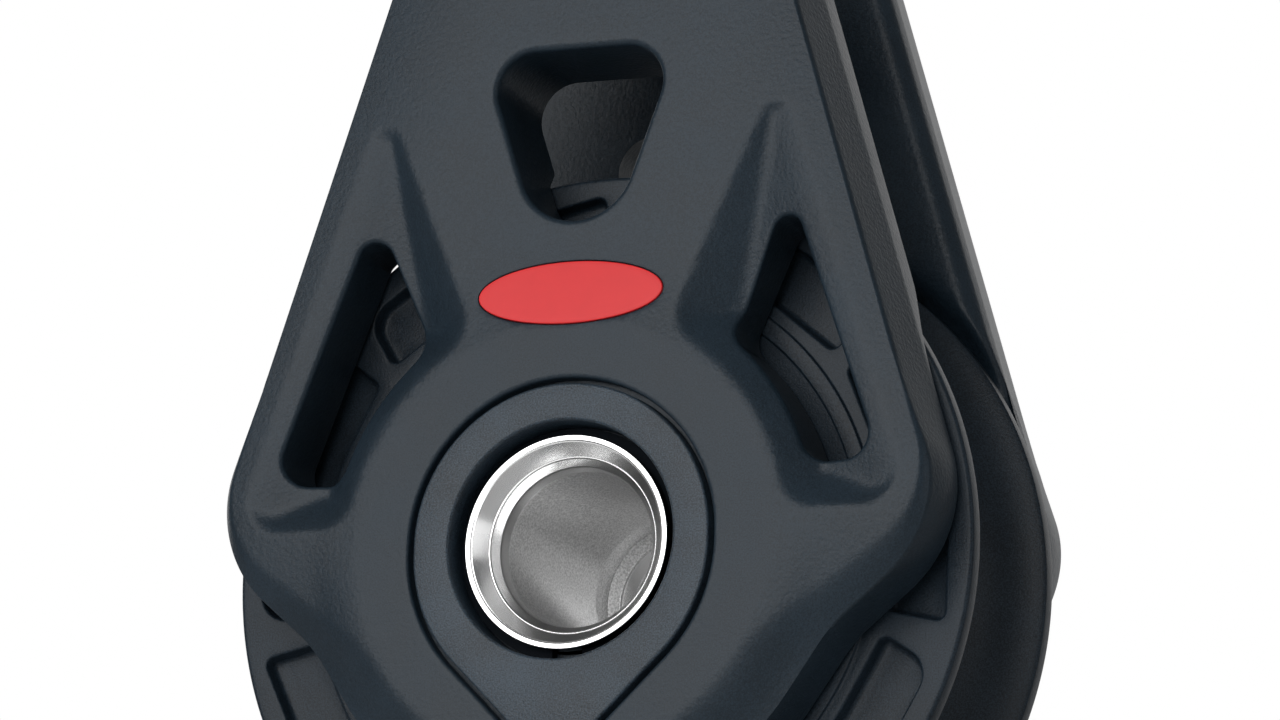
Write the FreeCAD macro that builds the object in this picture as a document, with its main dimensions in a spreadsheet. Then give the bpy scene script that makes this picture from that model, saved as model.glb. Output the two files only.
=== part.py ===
"""Single 60 mm sailing block with a through hub and a swivel shackle head, in millimetres.

+Z is up, towards the shackle. The hub's axis is the Y axis, and the origin is its middle.
+X is to the right of somebody who faces the front cheek, which lies on the -Y side.

Sizes are written once, in SIZES. WORKED holds what follows from them, as formulas. Lengths, offsets and
sketch places are bound to formulas on those names, so they follow a size that changes.
"""
import FreeCAD, Part
import Sketcher
import math
import os
import re

from FreeCAD import Placement, Rotation, Vector

SIZES = {
    # Hub: a steel tube through both cheeks, open for a lashing
    "bore_radius": 6.0,
    "bore_length": 25.0,
    "tube_radius": 8.2,
    "tube_length": 32.4,
    "mouth_radius": 7.75,
    "mouth_step_radius": 7.1,
    "mouth_step_depth": 1.5,
    "lip_round": 0.25,
    "tube_fit": 0.05,
    # Cheeks: moulded side plates around the sheave
    "cheek_gap": 16.0,
    "cheek_wall_top": 15.0,
    "cheek_face": 17.0,
    "boss_face": 17.4,
    "lobe_radius": 21.7,
    "lobe_angle": -34.0,
    "flank_angle": -49.3,
    "flank_distance": 19.4,
    "edge_angle": 17.17,
    "edge_distance": 29.08,
    "head_height": 66.0,
    "head_round": 8.0,
    "shoulder_round": 10.0,
    "waist_round": 12.0,
    "edge_bevel": 0.9,
    "crown_radius": 17.0,
    "crown_flank_angle": -54.5,
    "crown_flank_distance": 15.3,
    "crown_round": 7.0,
    "boss_radius": 16.9,
    "boss_bevel": 0.5,
    "pocket_radius": 31.3,
    "pocket_floor": 10.2,
    "seat_thickness": 3.0,
    # Window and side recesses of a cheek
    "window_top": 38.3,
    "window_lean": -18.9,
    "window_offset": -4.84,
    "window_top_round": 3.0,
    "window_foot_round": 4.7,
    "recess_inner_radius": 17.6,
    "recess_floor": 14.5,
    "recess_foot": 1.5,
    "recess_edge_distance": 26.75,
    "recess_edge_angle": 18.3,
    "recess_spine_angle": -23.6,
    "recess_spine_distance": 0.6,
    "recess_apex_round": 1.5,
    "recess_round": 3.0,
    "slot_inner_radius": 19.7,
    "slot_foot": 5.4,
    "slot_edge_distance": 25.05,
    "slot_edge_angle": 20.1,
    "slot_spine_angle": -22.2,
    "slot_spine_distance": 5.65,
    "slot_apex_round": 1.3,
    "slot_round": 2.0,
    "slot_ledge": 0.5,
    # Hub covers, egg-shaped rings let into the cheeks
    "cover_radius": 11.95,
    "cover_foot_distance": 12.35,
    "cover_tip_round": 4.5,
    "cover_groove": 0.4,
    "cover_groove_depth": 1.2,
    "cover_fit": 0.05,
    "cover_bore_radius": 9.1,
    "cover_web": 0.8,
    "clip_groove_radius": 7.9,
    "clip_radius": 8.95,
    "clip_thickness": 1.0,
    "clip_gap": 2.4,
    "clip_fit": 0.05,
    # Sheave
    "sheave_radius": 30.0,
    "sheave_half_width": 9.6,
    "groove_radius": 8.0,
    "groove_floor_radius": 23.5,
    "rim_round": 0.4,
    "ring_inner_radius": 21.1,
    "ring_outer_radius": 22.4,
    "ring_height": 0.3,
    "dish_count": 7,
    "dish_inner_radius": 23.3,
    "dish_outer_radius": 28.1,
    "dish_depth": 1.3,
    "dish_start": 193.5,
    "dish_rib_angle": 4.8,
    "dish_lean": 16.0,
    "dish_round": 0.8,
    "dish_end_round": 2.2,
    # Hub bearing: a full set of rollers between two races
    "inner_race_radius": 10.05,
    "roller_radius": 1.75,
    "roller_count": 20,
    "roller_fit": 0.05,
    "outer_race_wall": 1.15,
    "end_ring_thickness": 1.0,
    "end_ring_gap": 0.35,
    "roller_end_gap": 0.1,
    # Side bearings: a caged ring of balls between the sheave and each cheek
    "ball_radius": 1.2,
    "ball_count": 16,
    "ball_circle": 17.6,
    "ball_fit": 0.05,
    "ball_track_width": 3.8,
    "cage_thickness": 0.8,
    "cage_side_gap": 0.2,
    "cage_hole_gap": 0.1,
    # Badge
    "badge_width": 15.0,
    "badge_height": 4.9,
    "badge_offset": 2.1,
    "badge_thickness": 0.7,
    "badge_proud": 0.25,
    # Head: block between the cheeks, its bolts and the swivel
    "head_block_rise": 1.5,
    "head_block_height": 21.5,
    "head_block_foot_half": 11.0,
    "head_block_top_half": 8.2,
    "head_block_round": 3.0,
    "bolt_radius": 2.0,
    "bolt_offset": 6.5,
    "bolt_drop": 14.5,
    "bolt_head_radius": 3.5,
    "bolt_head_height": 2.2,
    "bolt_head_flat": 2.2,
    "bolt_head_edge": 0.6,
    "bolt_socket_width": 2.5,
    "bolt_socket_depth": 1.2,
    "bolt_seat_depth": 2.6,
    "bolt_end_inset": 0.3,
    "bolt_clearance": 0.1,
    "nut_width": 7.0,
    "nut_height": 3.2,
    "nut_seat_depth": 3.6,
    "nut_clearance": 0.15,
    "post_radius": 3.0,
    "post_depth": 12.0,
    "post_head_radius": 5.2,
    "post_head_height": 3.2,
    "post_head_chamfer": 1.0,
    "post_socket_width": 4.0,
    "post_socket_depth": 1.8,
    "lower_washer_radius": 6.4,
    "upper_washer_radius": 6.0,
    "lower_washer_thickness": 1.0,
    "upper_washer_thickness": 0.8,
    "swivel_fit": 0.05,
    # Shackle
    "bar_radius": 3.0,
    "leg_offset": 10.5,
    "bow_bend": 7.0,
    "crown_boss_radius": 7.4,
    "crown_boss_height": 7.5,
    "pin_height": 27.5,
    "eye_radius": 5.6,
    "eye_half_width": 3.4,
    "pin_radius": 3.0,
    "pin_fit": 0.05,
    "pin_end": 0.6,
    "pin_collar_radius": 4.6,
    "pin_collar_thickness": 1.8,
    "pin_collar_gap": 0.1,
    "pin_tab_radius": 4.8,
    "pin_tab_half_thickness": 1.2,
    "pin_tab_neck": 4.0,
    "pin_tab_center": 2.0,
    "pin_tab_root": 0.5,
    "pin_tab_hole": 1.8,
}

WORKED = {
    # Levels across the block, from its middle plane outwards
    "inner_face": "cheek_gap / 2",
    "cover_seat": "pocket_floor + seat_thickness",
    "clip_level": "cover_seat + cover_web",
    "clip_outer": "clip_level + clip_thickness",
    "tube_end": "tube_length / 2",
    "mouth_step": "tube_end - mouth_step_depth",
    "mid_gap": "(pocket_floor + sheave_half_width) / 2",
    "track_reach": "ball_radius + ball_fit",
    "ring_level": "sheave_half_width + ring_height",
    "race_half": "sheave_half_width - end_ring_thickness",
    "roller_half": "race_half - roller_end_gap",
    "cage_level": "mid_gap - cage_thickness / 2",
    "badge_floor": "cheek_face + badge_proud - badge_thickness",
    "bolt_seat": "cheek_face - bolt_seat_depth",
    "bolt_end": "cheek_face - bolt_end_inset",
    "nut_seat": "cheek_face - nut_seat_depth",
    # Radii about the hub
    "race_inner": "tube_radius + tube_fit",
    "roller_circle": "inner_race_radius + roller_fit + roller_radius",
    "outer_race_inner": "roller_circle + roller_radius + roller_fit",
    "sheave_bore": "outer_race_inner + outer_race_wall",
    "end_ring_inner": "inner_race_radius + end_ring_gap",
    "track_inner": "ball_circle - ball_track_width / 2",
    "track_outer": "ball_circle + ball_track_width / 2",
    # Heights of the badge and the head
    "badge_level": "boss_radius + badge_offset",
    "head_block_top": "head_height + head_block_rise",
    "head_block_foot": "head_block_top - head_block_height",
    "bolt_level": "head_height - bolt_drop",
    "crown_level": "head_block_top + lower_washer_thickness",
    "crown_top": "crown_level + crown_boss_height",
    "bow_level": "crown_level + bar_radius",
    "pin_level": "crown_level + pin_height",
    "post_foot": "head_block_top - post_depth",
    "post_seat": "crown_top + upper_washer_thickness",
    "post_top": "post_seat + post_head_height",
    # Lengths of the shackle's pin, from its middle outwards
    "eye_reach": "leg_offset + eye_half_width",
    "pin_tail": "eye_reach + pin_end",
    "pin_collar": "eye_reach + pin_collar_gap",
    "pin_collar_end": "pin_collar + pin_collar_thickness",
}

doc = FreeCAD.newDocument("SailingBlock")


def add_sheet(name, cells):
    """Add a spreadsheet with a named cell for each size."""
    made = doc.addObject("Spreadsheet::Sheet", name)
    for row, (alias, content) in enumerate(cells.items(), start=1):
        made.set(f"A{row}", alias)
        made.set(f"B{row}", str(content))
        made.setAlias(f"B{row}", alias)
    doc.recompute()
    return made


HOMES = {alias: "Sizes" for alias in SIZES} | {alias: "Worked" for alias in WORKED}


def linked(formula):
    """Return a formula in which each size is named in full, as SHEET.size."""
    return re.sub(r"[a-z]+(?:_[a-z]+)+", lambda word: f"{HOMES[word[0]]}.{word[0]}", formula)


size_sheet = add_sheet("Sizes", SIZES)
worked_sheet = add_sheet("Worked", {alias: f"={linked(formula)}" for alias, formula in WORKED.items()})
parts = []


def size(formula):
    """Return what a size, or a formula on sizes, comes to."""
    return FreeCAD.Units.Quantity(worked_sheet.evalExpression(linked(formula))).Value


def point(x, y):
    """Return a point of a sketch."""
    return Vector(x, y, 0.0)


def polar(angle, distance):
    """Return the sketch point at an angle in degrees and a distance from the origin."""
    return point(distance * math.cos(math.radians(angle)), distance * math.sin(math.radians(angle)))


def crossing(first, second):
    """Return where two lines meet, each given by its normal's angle and its distance from the origin."""
    a, b = polar(first[0], 1.0), polar(second[0], 1.0)
    scale = a.x * b.y - a.y * b.x
    return point((first[1] * b.y - second[1] * a.y) / scale, (second[1] * a.x - first[1] * b.x) / scale)


def rounded_chain(lines):
    """Return the edges of a closed outline.

    Each line is (angle of its normal, distance from the origin, radius at its corner with the next).
    A corner whose radius equals the distance of both its lines is an arc about the origin.
    """
    corners = [crossing(lines[i], lines[(i + 1) % len(lines)]) for i in range(len(lines))]
    arcs = []
    for i, corner in enumerate(corners):
        arriving = (corner - corners[i - 1]).normalize()
        leaving = (corners[(i + 1) % len(corners)] - corner).normalize()
        turn = math.atan2(arriving.x * leaving.y - arriving.y * leaving.x, arriving.dot(leaving))
        radius = lines[i][2]
        reach = radius * math.tan(abs(turn) / 2)
        start = corner - arriving * reach
        end = corner + leaving * reach
        center = start + point(-arriving.y, arriving.x) * math.copysign(radius, turn)
        middle = center + (corner - center).normalize() * radius
        arcs.append((start, middle, end))
    edges = []
    for i, (start, middle, end) in enumerate(arcs):
        previous_end = arcs[i - 1][2]
        if (start - previous_end).Length > 1e-4:
            edges.append(Part.LineSegment(previous_end, start))
        else:
            start = previous_end
        edges.append(Part.Arc(start, middle, end))
    return edges


def mirrored(lines):
    """Return the outline on the other side of the middle plane, in the same turning sense."""
    count = len(lines)
    flipped = []
    for i in range(count - 1, -1, -1):
        angle, distance, _ = lines[i]
        flipped.append((180.0 - angle, distance, lines[i - 1][2]))
    return flipped


def new_body(label):
    """Add an empty body that is written out under its label."""
    body = doc.addObject("PartDesign::Body", label.title().replace("_", ""))
    body.Label = label
    parts.append(body)
    return body


def origin_item(body, role):
    """Return one of the body's own origin planes or axes."""
    return next(item for item in body.Origin.OriginFeatures if item.Role == role)


def sketch(body, name, role, edges, level="0"):
    """Add a sketch on an origin plane of the body, shifted along the plane's normal by a formula."""
    made = body.newObject("Sketcher::SketchObject", f"{body.Name}{name}")
    made.AttachmentSupport = [(origin_item(body, role), "")]
    made.MapMode = "FlatFace"
    made.setExpression("AttachmentOffset.Base.z", linked(level))
    made.addGeometry(edges, False)
    return made


def bind(made, kind, formula, *places):
    """Add a dimension to a sketch whose value follows a formula."""
    index = made.addConstraint(Sketcher.Constraint(kind, *places, size(formula)))
    made.setExpression(f"Constraints[{index}]", linked(formula))


def pin_down(made, edge, vertex, x, y):
    """Hold a sketch point at the place that two formulas give, on an axis where one is 0."""
    for kind, axis, formula in (("DistanceX", -2, x), ("DistanceY", -1, y)):
        if formula == "0":
            made.addConstraint(Sketcher.Constraint("PointOnObject", edge, vertex, axis))
        else:
            bind(made, kind, formula, edge, vertex)


def circles(body, name, role, radii, level="0", center=("0", "0")):
    """Add a sketch of circles about one point, with their radii and the point bound to formulas."""
    made = sketch(body, name, role, [], level)
    middle = point(size(center[0]), size(center[1]))
    for radius in radii:
        circle = made.addGeometry(Part.Circle(middle, Vector(0, 0, 1), size(radius)), False)
        bind(made, "Radius", radius, circle)
        pin_down(made, circle, 3, *center)
    return made


def corners(body, name, role, places, level="0"):
    """Add a sketch of straight edges through places that are bound to formulas."""
    made = sketch(body, name, role, [], level)
    spots = [point(size(x), size(y)) for x, y in places]
    for i, spot in enumerate(spots):
        made.addGeometry(Part.LineSegment(spot, spots[(i + 1) % len(spots)]), False)
    for i, place in enumerate(places):
        made.addConstraint(Sketcher.Constraint("Coincident", i - 1 if i else len(places) - 1, 2, i, 1))
        pin_down(made, i, 1, *place)
    return made


def feature(body, kind, profile, **settings):
    """Add a feature made from a profile. A setting given as a formula is bound to it."""
    made = body.newObject(f"PartDesign::{kind}", f"{profile.Name}{kind}")
    made.Profile = profile
    for key, setting in settings.items():
        if isinstance(setting, str):
            made.setExpression(key, linked(setting))
        else:
            setattr(made, key, setting)
    doc.recompute()
    return made


def cut(body, kind, profile, **settings):
    """Add a cutting feature and make sure that it takes material away."""
    made = feature(body, kind, profile, **settings)
    if not made.Shape.Volume < made.BaseFeature.Shape.Volume - 1e-3:
        raise RuntimeError(f"{body.Label}: {made.Name} cuts nothing")
    return made


def repeat(body, original, count):
    """Repeat a feature evenly round the hub's axis, as often as a size says."""
    made = body.newObject("PartDesign::PolarPattern", f"{original.Name}Pattern")
    made.Originals = [original]
    made.Axis = (origin_item(body, "Y_Axis"), [""])
    made.Angle = 360.0
    made.setExpression("Occurrences", linked(count))
    body.Tip = made
    doc.recompute()
    return made


def pair(body, name, originals):
    """Repeat features on the other side of the middle plane."""
    made = body.newObject("PartDesign::Mirrored", f"{body.Name}{name}")
    made.Originals = originals
    made.MirrorPlane = (origin_item(body, "YZ_Plane"), [""])
    body.Tip = made
    doc.recompute()
    return made


def turned(body, profile, axis):
    """Turn a profile a full round about an axis of its own sketch."""
    return feature(body, "Revolution", profile, ReferenceAxis=(profile, [axis]), Angle=360.0)


def turn_round(body):
    """Turn a body half a round about the upright axis, to the rear of the block."""
    body.Placement = Placement(Vector(), Rotation(Vector(0, 0, 1), 180))


def hub_ring(label, inner, outer, low, high):
    """Add a plain ring about the hub's axis, from one Y level to another, all given as formulas."""
    body = new_body(label)
    places = [(low, inner), (high, inner), (high, outer), (low, outer)]
    turned(body, corners(body, "Section", "YZ_Plane", places), "H_Axis")
    return body


def cut_in(body, name, profile_edges, floor, mouth):
    """Cut a straight-walled recess of free outline into a cheek or cover, from a mouth level to a floor."""
    profile = sketch(body, name, "XZ_Plane", profile_edges, floor)
    return cut(body, "Pocket", profile, Length=f"{mouth} - {floor}", Reversed=True)


def bore(body, name, radii, floor, mouth, center=("0", "0")):
    """Cut a round recess, or a ring-shaped one, from a mouth level to a floor."""
    profile = circles(body, name, "XZ_Plane", radii, floor, center)
    return cut(body, "Pocket", profile, Length=f"{mouth} - {floor}", Reversed=True)


def left_half(half, lobe):
    """Return the mirror image of a right-hand half outline, ending in the lobe's arc."""
    tangent, flank, edge = half
    return [
        (180.0 - edge[0], edge[1], flank[2]),
        (180.0 - flank[0], flank[1], tangent[2]),
        (180.0 - tangent[0], tangent[1], lobe),
    ]


def cheek_outline():
    """Return the lines of a cheek's outer edge: lobe, waists, shoulders, straight sides and head."""
    lobe = size("lobe_radius")
    half = [
        (size("lobe_angle"), lobe, size("waist_round")),
        (size("flank_angle"), size("flank_distance"), size("shoulder_round")),
        (size("edge_angle"), size("edge_distance"), size("head_round")),
    ]
    return half + [(90.0, size("head_height"), size("head_round"))] + left_half(half, lobe)


def crown_outline():
    """Return the lines of the raised face, which falls away to the edge below the shoulders."""
    lobe = size("crown_radius")
    head_round = size("head_round - edge_bevel")
    half = [
        (size("lobe_angle"), lobe, size("crown_round")),
        (size("crown_flank_angle"), size("crown_flank_distance"), size("crown_round")),
        (size("edge_angle"), size("edge_distance - edge_bevel"), head_round),
    ]
    return half + [(90.0, size("head_height - edge_bevel"), head_round)] + left_half(half, lobe)


def scoop_outline():
    """Return the lines of the right-hand scoop at the cheek's face, pointed at its top."""
    inner = size("recess_inner_radius")
    return [
        (size("recess_spine_angle"), size("recess_spine_distance"), size("recess_round")),
        (50.0, inner, inner),
        (14.0, inner, size("recess_round")),
        (90.0, size("recess_foot"), size("recess_round")),
        (size("recess_edge_angle"), size("recess_edge_distance"), size("recess_apex_round")),
    ]


def slot_outline(spread=0.0):
    """Return the lines of the right-hand slot, which may be spread outwards for the scoop's floor."""
    inner = size("slot_inner_radius") - spread
    return [
        (size("slot_spine_angle"), size("slot_spine_distance") - spread, size("slot_round")),
        (50.0, inner, inner),
        (20.0, inner, size("slot_round")),
        (90.0, size("slot_foot") - spread, size("slot_round") + spread),
        (size("slot_edge_angle"), size("slot_edge_distance") + spread, size("slot_apex_round") + spread),
    ]


def window_outline():
    """Return the lines of the window: a triangle on its point, with rounded corners."""
    lean, offset = size("window_lean"), size("window_offset")
    return [
        (lean, offset, size("window_top_round")),
        (90.0, size("window_top"), size("window_top_round")),
        (180.0 - lean, offset, size("window_foot_round")),
    ]


def cover_outline(spread="0"):
    """Return the lines of a hub cover: a circle drawn out to a rounded point below."""
    radius = size(f"cover_radius + {spread}")
    foot = size(f"cover_foot_distance + {spread}")
    return [
        (-45.0, foot, radius),
        (0.0, radius, radius),
        (90.0, radius, radius),
        (180.0, radius, radius),
        (225.0, foot, size(f"cover_tip_round + {spread}")),
    ]


def build_cheek(label, front):
    """Build one cheek on the -Y side, and turn it half a round for the rear one."""
    body = new_body(label)
    plate = sketch(body, "Plate", "XZ_Plane", rounded_chain(cheek_outline()), "inner_face")
    feature(body, "Pad", plate, Length="cheek_wall_top - inner_face")
    foot = sketch(body, "CrownFoot", "XZ_Plane", rounded_chain(cheek_outline()), "cheek_wall_top")
    top = sketch(body, "CrownTop", "XZ_Plane", rounded_chain(crown_outline()), "cheek_face")
    feature(body, "AdditiveLoft", foot, Sections=[top], Ruled=True)
    boss_foot = circles(body, "BossFoot", "XZ_Plane", ["boss_radius"], "cheek_face")
    boss_top = circles(body, "BossTop", "XZ_Plane", ["boss_radius - boss_bevel"], "boss_face")
    feature(body, "AdditiveLoft", boss_foot, Sections=[boss_top], Ruled=True)

    bore(body, "SheavePocket", ["pocket_radius"], "0", "pocket_floor")
    bore(body, "BallTrack", ["track_inner", "track_outer"], "mid_gap", "(mid_gap + track_reach)")
    groove = rounded_chain(cover_outline("cover_groove"))
    cut_in(body, "CoverGroove", groove, "(boss_face - cover_groove_depth)", "boss_face")
    cut_in(body, "CoverSeat", rounded_chain(cover_outline("cover_fit")), "cover_seat", "boss_face")
    bore(body, "TubeHole", ["race_inner"], "0", "boss_face")

    for side, flip in (("Right", list), ("Left", mirrored)):
        mouth = sketch(body, f"{side}Scoop", "XZ_Plane", rounded_chain(flip(scoop_outline())), "cheek_face")
        floor_edges = rounded_chain(flip(slot_outline(size("slot_ledge"))))
        floor = sketch(body, f"{side}ScoopFloor", "XZ_Plane", floor_edges, "recess_floor")
        cut(body, "SubtractiveLoft", mouth, Sections=[floor], Ruled=True)
        cut_in(body, f"{side}Slot", rounded_chain(flip(slot_outline())), "0", "cheek_face")
    cut_in(body, "Window", rounded_chain(window_outline()), "0", "cheek_face")

    for side, x in (("Right", "bolt_offset"), ("Left", "-bolt_offset")):
        place = (x, "bolt_level")
        bore(body, f"{side}BoltHole", ["bolt_radius + bolt_clearance"], "0", "cheek_face", place)
        if front:
            seat_edge = ["bolt_head_radius + bolt_clearance"]
            bore(body, f"{side}BoltSeat", seat_edge, "bolt_seat", "cheek_face", place)
        else:
            seat = hexagon("nut_width + 2 * nut_clearance", place)
            cut_in(body, f"{side}NutSeat", seat, "nut_seat", "cheek_face")
    if front:
        cut_in(body, "BadgeSeat", oval(), "badge_floor", "boss_face")
    else:
        turn_round(body)


def hexagon(width, center=("0", "0")):
    """Return the edges of a hexagon, by its width across flats and its middle, given as formulas."""
    corner = size(width) / math.sqrt(3)
    middle = point(size(center[0]), size(center[1]))
    spots = [middle + polar(60.0 * i, corner) for i in range(6)]
    return [Part.LineSegment(spots[i - 1], spots[i]) for i in range(6)]


def oval():
    """Return the badge's ellipse at its place on the cheek."""
    middle = point(0.0, size("badge_level"))
    return [Part.Ellipse(middle, size("badge_width / 2"), size("badge_height / 2"))]


def build_hub_tube():
    """Build the hub's tube, with a stepped flare in each mouth and a groove for each clip."""
    body = new_body("hub_tube")
    right = [
        ("clip_level - clip_fit", "tube_radius"),
        ("clip_level - clip_fit", "clip_groove_radius"),
        ("clip_outer + clip_fit", "clip_groove_radius"),
        ("clip_outer + clip_fit", "tube_radius"),
        ("tube_end - lip_round", "tube_radius"),
        ("tube_end", "tube_radius - lip_round"),
        ("tube_end", "mouth_radius"),
        ("mouth_step", "mouth_step_radius"),
        ("bore_length / 2", "bore_radius"),
    ]
    left = [(f"-({y})", radius) for y, radius in reversed(right)]
    turned(body, corners(body, "Section", "YZ_Plane", right + left), "H_Axis")


def build_hub_cover(label):
    """Build the egg-shaped cover that is let into a cheek round the tube's end."""
    body = new_body(label)
    blank = sketch(body, "Blank", "XZ_Plane", rounded_chain(cover_outline()), "cover_seat")
    feature(body, "Pad", blank, Length="boss_face - cover_seat")
    bore(body, "Well", ["cover_bore_radius"], "clip_level", "boss_face")
    bore(body, "Hole", ["race_inner"], "0", "boss_face")
    return body


def build_clip(label):
    """Build the split ring that holds a cover on the tube."""
    body = new_body(label)
    loop = circles(body, "Loop", "XZ_Plane", ["clip_radius", "clip_groove_radius"], "clip_level")
    feature(body, "Pad", loop, Length="clip_thickness")
    half_gap, below = "clip_gap / 2", "-(clip_radius + clip_gap)"
    slit = [(f"-{half_gap}", below), (half_gap, below), (half_gap, "0"), (f"-{half_gap}", "0")]
    profile = corners(body, "Slit", "XZ_Plane", slit, "clip_level")
    cut(body, "Pocket", profile, Length="clip_thickness", Reversed=True)
    return body


def dish_outline():
    """Return the lines of one shallow dish in the sheave's side, squared at one end, swept at the other."""
    start = size("dish_start")
    end = start + 360.0 / size("dish_count") - size("dish_rib_angle")
    inner, outer = size("dish_inner_radius"), size("dish_outer_radius")
    lean = size("dish_lean")
    swept_distance = (inner + outer) / 2 * math.sin(math.radians(lean))
    spread = (end - start) / 4
    return [
        (start - 90.0, 0.0, size("dish_round")),
        (start + spread, outer, outer),
        (end - spread, outer, size("dish_end_round")),
        (end + 90.0 - lean, swept_distance, size("dish_round")),
        (end - spread, inner, inner),
        (start + spread, inner, size("dish_round")),
    ]


def build_sheave():
    """Build the sheave: a turned ring with a round groove, ball tracks, and dishes in both sides."""
    body = new_body("sheave")
    right = [
        ("sheave_half_width - rim_round", "sheave_radius"),
        ("sheave_half_width", "sheave_radius - rim_round"),
        ("sheave_half_width", "ring_outer_radius"),
        ("ring_level", "ring_outer_radius"),
        ("ring_level", "ring_inner_radius"),
        ("sheave_half_width", "ring_inner_radius"),
        ("sheave_half_width", "track_outer"),
        ("mid_gap - track_reach", "track_outer"),
        ("mid_gap - track_reach", "track_inner"),
        ("sheave_half_width", "track_inner"),
        ("sheave_half_width", "sheave_bore"),
    ]
    left = [(f"-({y})", radius) for y, radius in reversed(right)]
    turned(body, corners(body, "Section", "YZ_Plane", right + left), "H_Axis")
    groove = circles(body, "RopeGroove", "YZ_Plane", ["groove_radius"],
                     center=("0", "groove_floor_radius + groove_radius"))
    cut(body, "Groove", groove, ReferenceAxis=(groove, ["H_Axis"]), Angle=360.0)
    for side, level, outwards in (("Front", "(sheave_half_width - dish_depth)", True),
                                  ("Rear", "(dish_depth - sheave_half_width)", False)):
        profile = sketch(body, f"{side}Dish", "XZ_Plane", rounded_chain(dish_outline()), level)
        dish = cut(body, "Pocket", profile, Length="dish_depth", Reversed=outwards)
        repeat(body, dish, "dish_count")


def build_hub_bearing():
    """Build the races, the end rings and the full set of rollers between them."""
    hub_ring("bearing_inner_race", "race_inner", "inner_race_radius", "-pocket_floor", "pocket_floor")
    hub_ring("bearing_outer_race", "outer_race_inner", "sheave_bore", "-race_half", "race_half")
    hub_ring("front_end_ring", "end_ring_inner", "sheave_bore", "-sheave_half_width", "-race_half")
    hub_ring("rear_end_ring", "end_ring_inner", "sheave_bore", "race_half", "sheave_half_width")
    rollers = new_body("hub_rollers")
    place = ("roller_circle", "0")
    end = circles(rollers, "Roller", "XZ_Plane", ["roller_radius"], "-roller_half", place)
    repeat(rollers, feature(rollers, "Pad", end, Length="2 * roller_half"), "roller_count")


def build_side_bearing(side):
    """Build one ring of side balls and its cage. They are made in front, and turned for the rear."""
    balls = new_body(f"{side}_side_balls")
    middle, radius = point(size("ball_circle"), 0.0), size("ball_radius")
    half_circle = Part.ArcOfCircle(Part.Circle(middle, Vector(0, 0, 1), radius), 0.0, math.pi)
    across = Part.LineSegment(middle - point(radius, 0.0), middle + point(radius, 0.0))
    section = sketch(balls, "Ball", "XZ_Plane", [half_circle, across], "mid_gap")
    repeat(balls, turned(balls, section, "H_Axis"), "ball_count")
    cage = new_body(f"{side}_ball_cage")
    edges = ["track_inner + cage_side_gap", "track_outer - cage_side_gap"]
    loop = circles(cage, "Loop", "XZ_Plane", edges, "cage_level")
    feature(cage, "Pad", loop, Length="cage_thickness")
    place = ("ball_circle", "0")
    top = "(cage_level + cage_thickness)"
    repeat(cage, bore(cage, "Hole", ["ball_radius + cage_hole_gap"], "cage_level", top, place), "ball_count")
    if side == "rear":
        turn_round(balls)
        turn_round(cage)


def build_badge():
    """Build the plain oval badge plate in its seat on the front cheek."""
    body = new_body("badge_plate")
    profile = sketch(body, "Oval", "XZ_Plane", oval(), "badge_floor")
    feature(body, "Pad", profile, Length="badge_thickness")


def build_head_block():
    """Build the head block between the cheeks, bored for the two bolts and the swivel post."""
    body = new_body("head_block")
    low, high = size("head_block_foot"), size("head_block_top")
    foot_half, top_half = size("head_block_foot_half"), size("head_block_top_half")
    lean = math.degrees(math.atan2(foot_half - top_half, high - low))
    side_distance = polar(lean, 1.0).dot(point(foot_half, low))
    corner = size("head_block_round")
    outline = [
        (-90.0, -low, corner),
        (lean, side_distance, corner),
        (90.0, high, corner),
        (180.0 - lean, side_distance, corner),
    ]
    profile = sketch(body, "Blank", "XZ_Plane", rounded_chain(outline), "-inner_face")
    feature(body, "Pad", profile, Length="cheek_gap")
    post_hole = circles(body, "PostHole", "XY_Plane", ["post_radius"], "head_block_top")
    cut(body, "Pocket", post_hole, Length="post_depth")
    for side, x in (("Right", "bolt_offset"), ("Left", "-bolt_offset")):
        bore(body, f"{side}BoltHole", ["bolt_radius + bolt_clearance"], "(-inner_face)", "inner_face",
             (x, "bolt_level"))


def build_bolts():
    """Build the pair of button-headed bolts and their nuts, which clamp the cheeks to the head block."""
    bolts = new_body("head_bolts")
    axis, outer = "bolt_offset", "bolt_offset + bolt_head_radius"
    crown = "-(bolt_seat + bolt_head_height)"
    places = [
        (axis, crown),
        (f"{axis} + bolt_head_flat", crown),
        (outer, "-(bolt_seat + bolt_head_edge)"),
        (outer, "-bolt_seat"),
        (f"{axis} + bolt_radius", "-bolt_seat"),
        (f"{axis} + bolt_radius", "bolt_end"),
        (axis, "bolt_end"),
    ]
    section = corners(bolts, "Section", "XY_Plane", places, "bolt_level")
    bolt = turned(bolts, section, f"Edge{len(places)}")
    place = (axis, "bolt_level")
    socket = sketch(bolts, "Socket", "XZ_Plane", hexagon("bolt_socket_width", place),
                    "bolt_seat + bolt_head_height - bolt_socket_depth")
    hole = cut(bolts, "Pocket", socket, Length="bolt_socket_depth", Reversed=True)
    pair(bolts, "Pair", [bolt, hole])

    nuts = new_body("head_nuts")
    blank = sketch(nuts, "Blank", "XZ_Plane", hexagon("nut_width", place), "-(nut_seat + nut_height)")
    nut = feature(nuts, "Pad", blank, Length="nut_height")
    thread = circles(nuts, "Hole", "XZ_Plane", ["bolt_radius"], "-nut_seat", place)
    pair(nuts, "Pair", [nut, cut(nuts, "Pocket", thread, Length="nut_height")])


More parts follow.
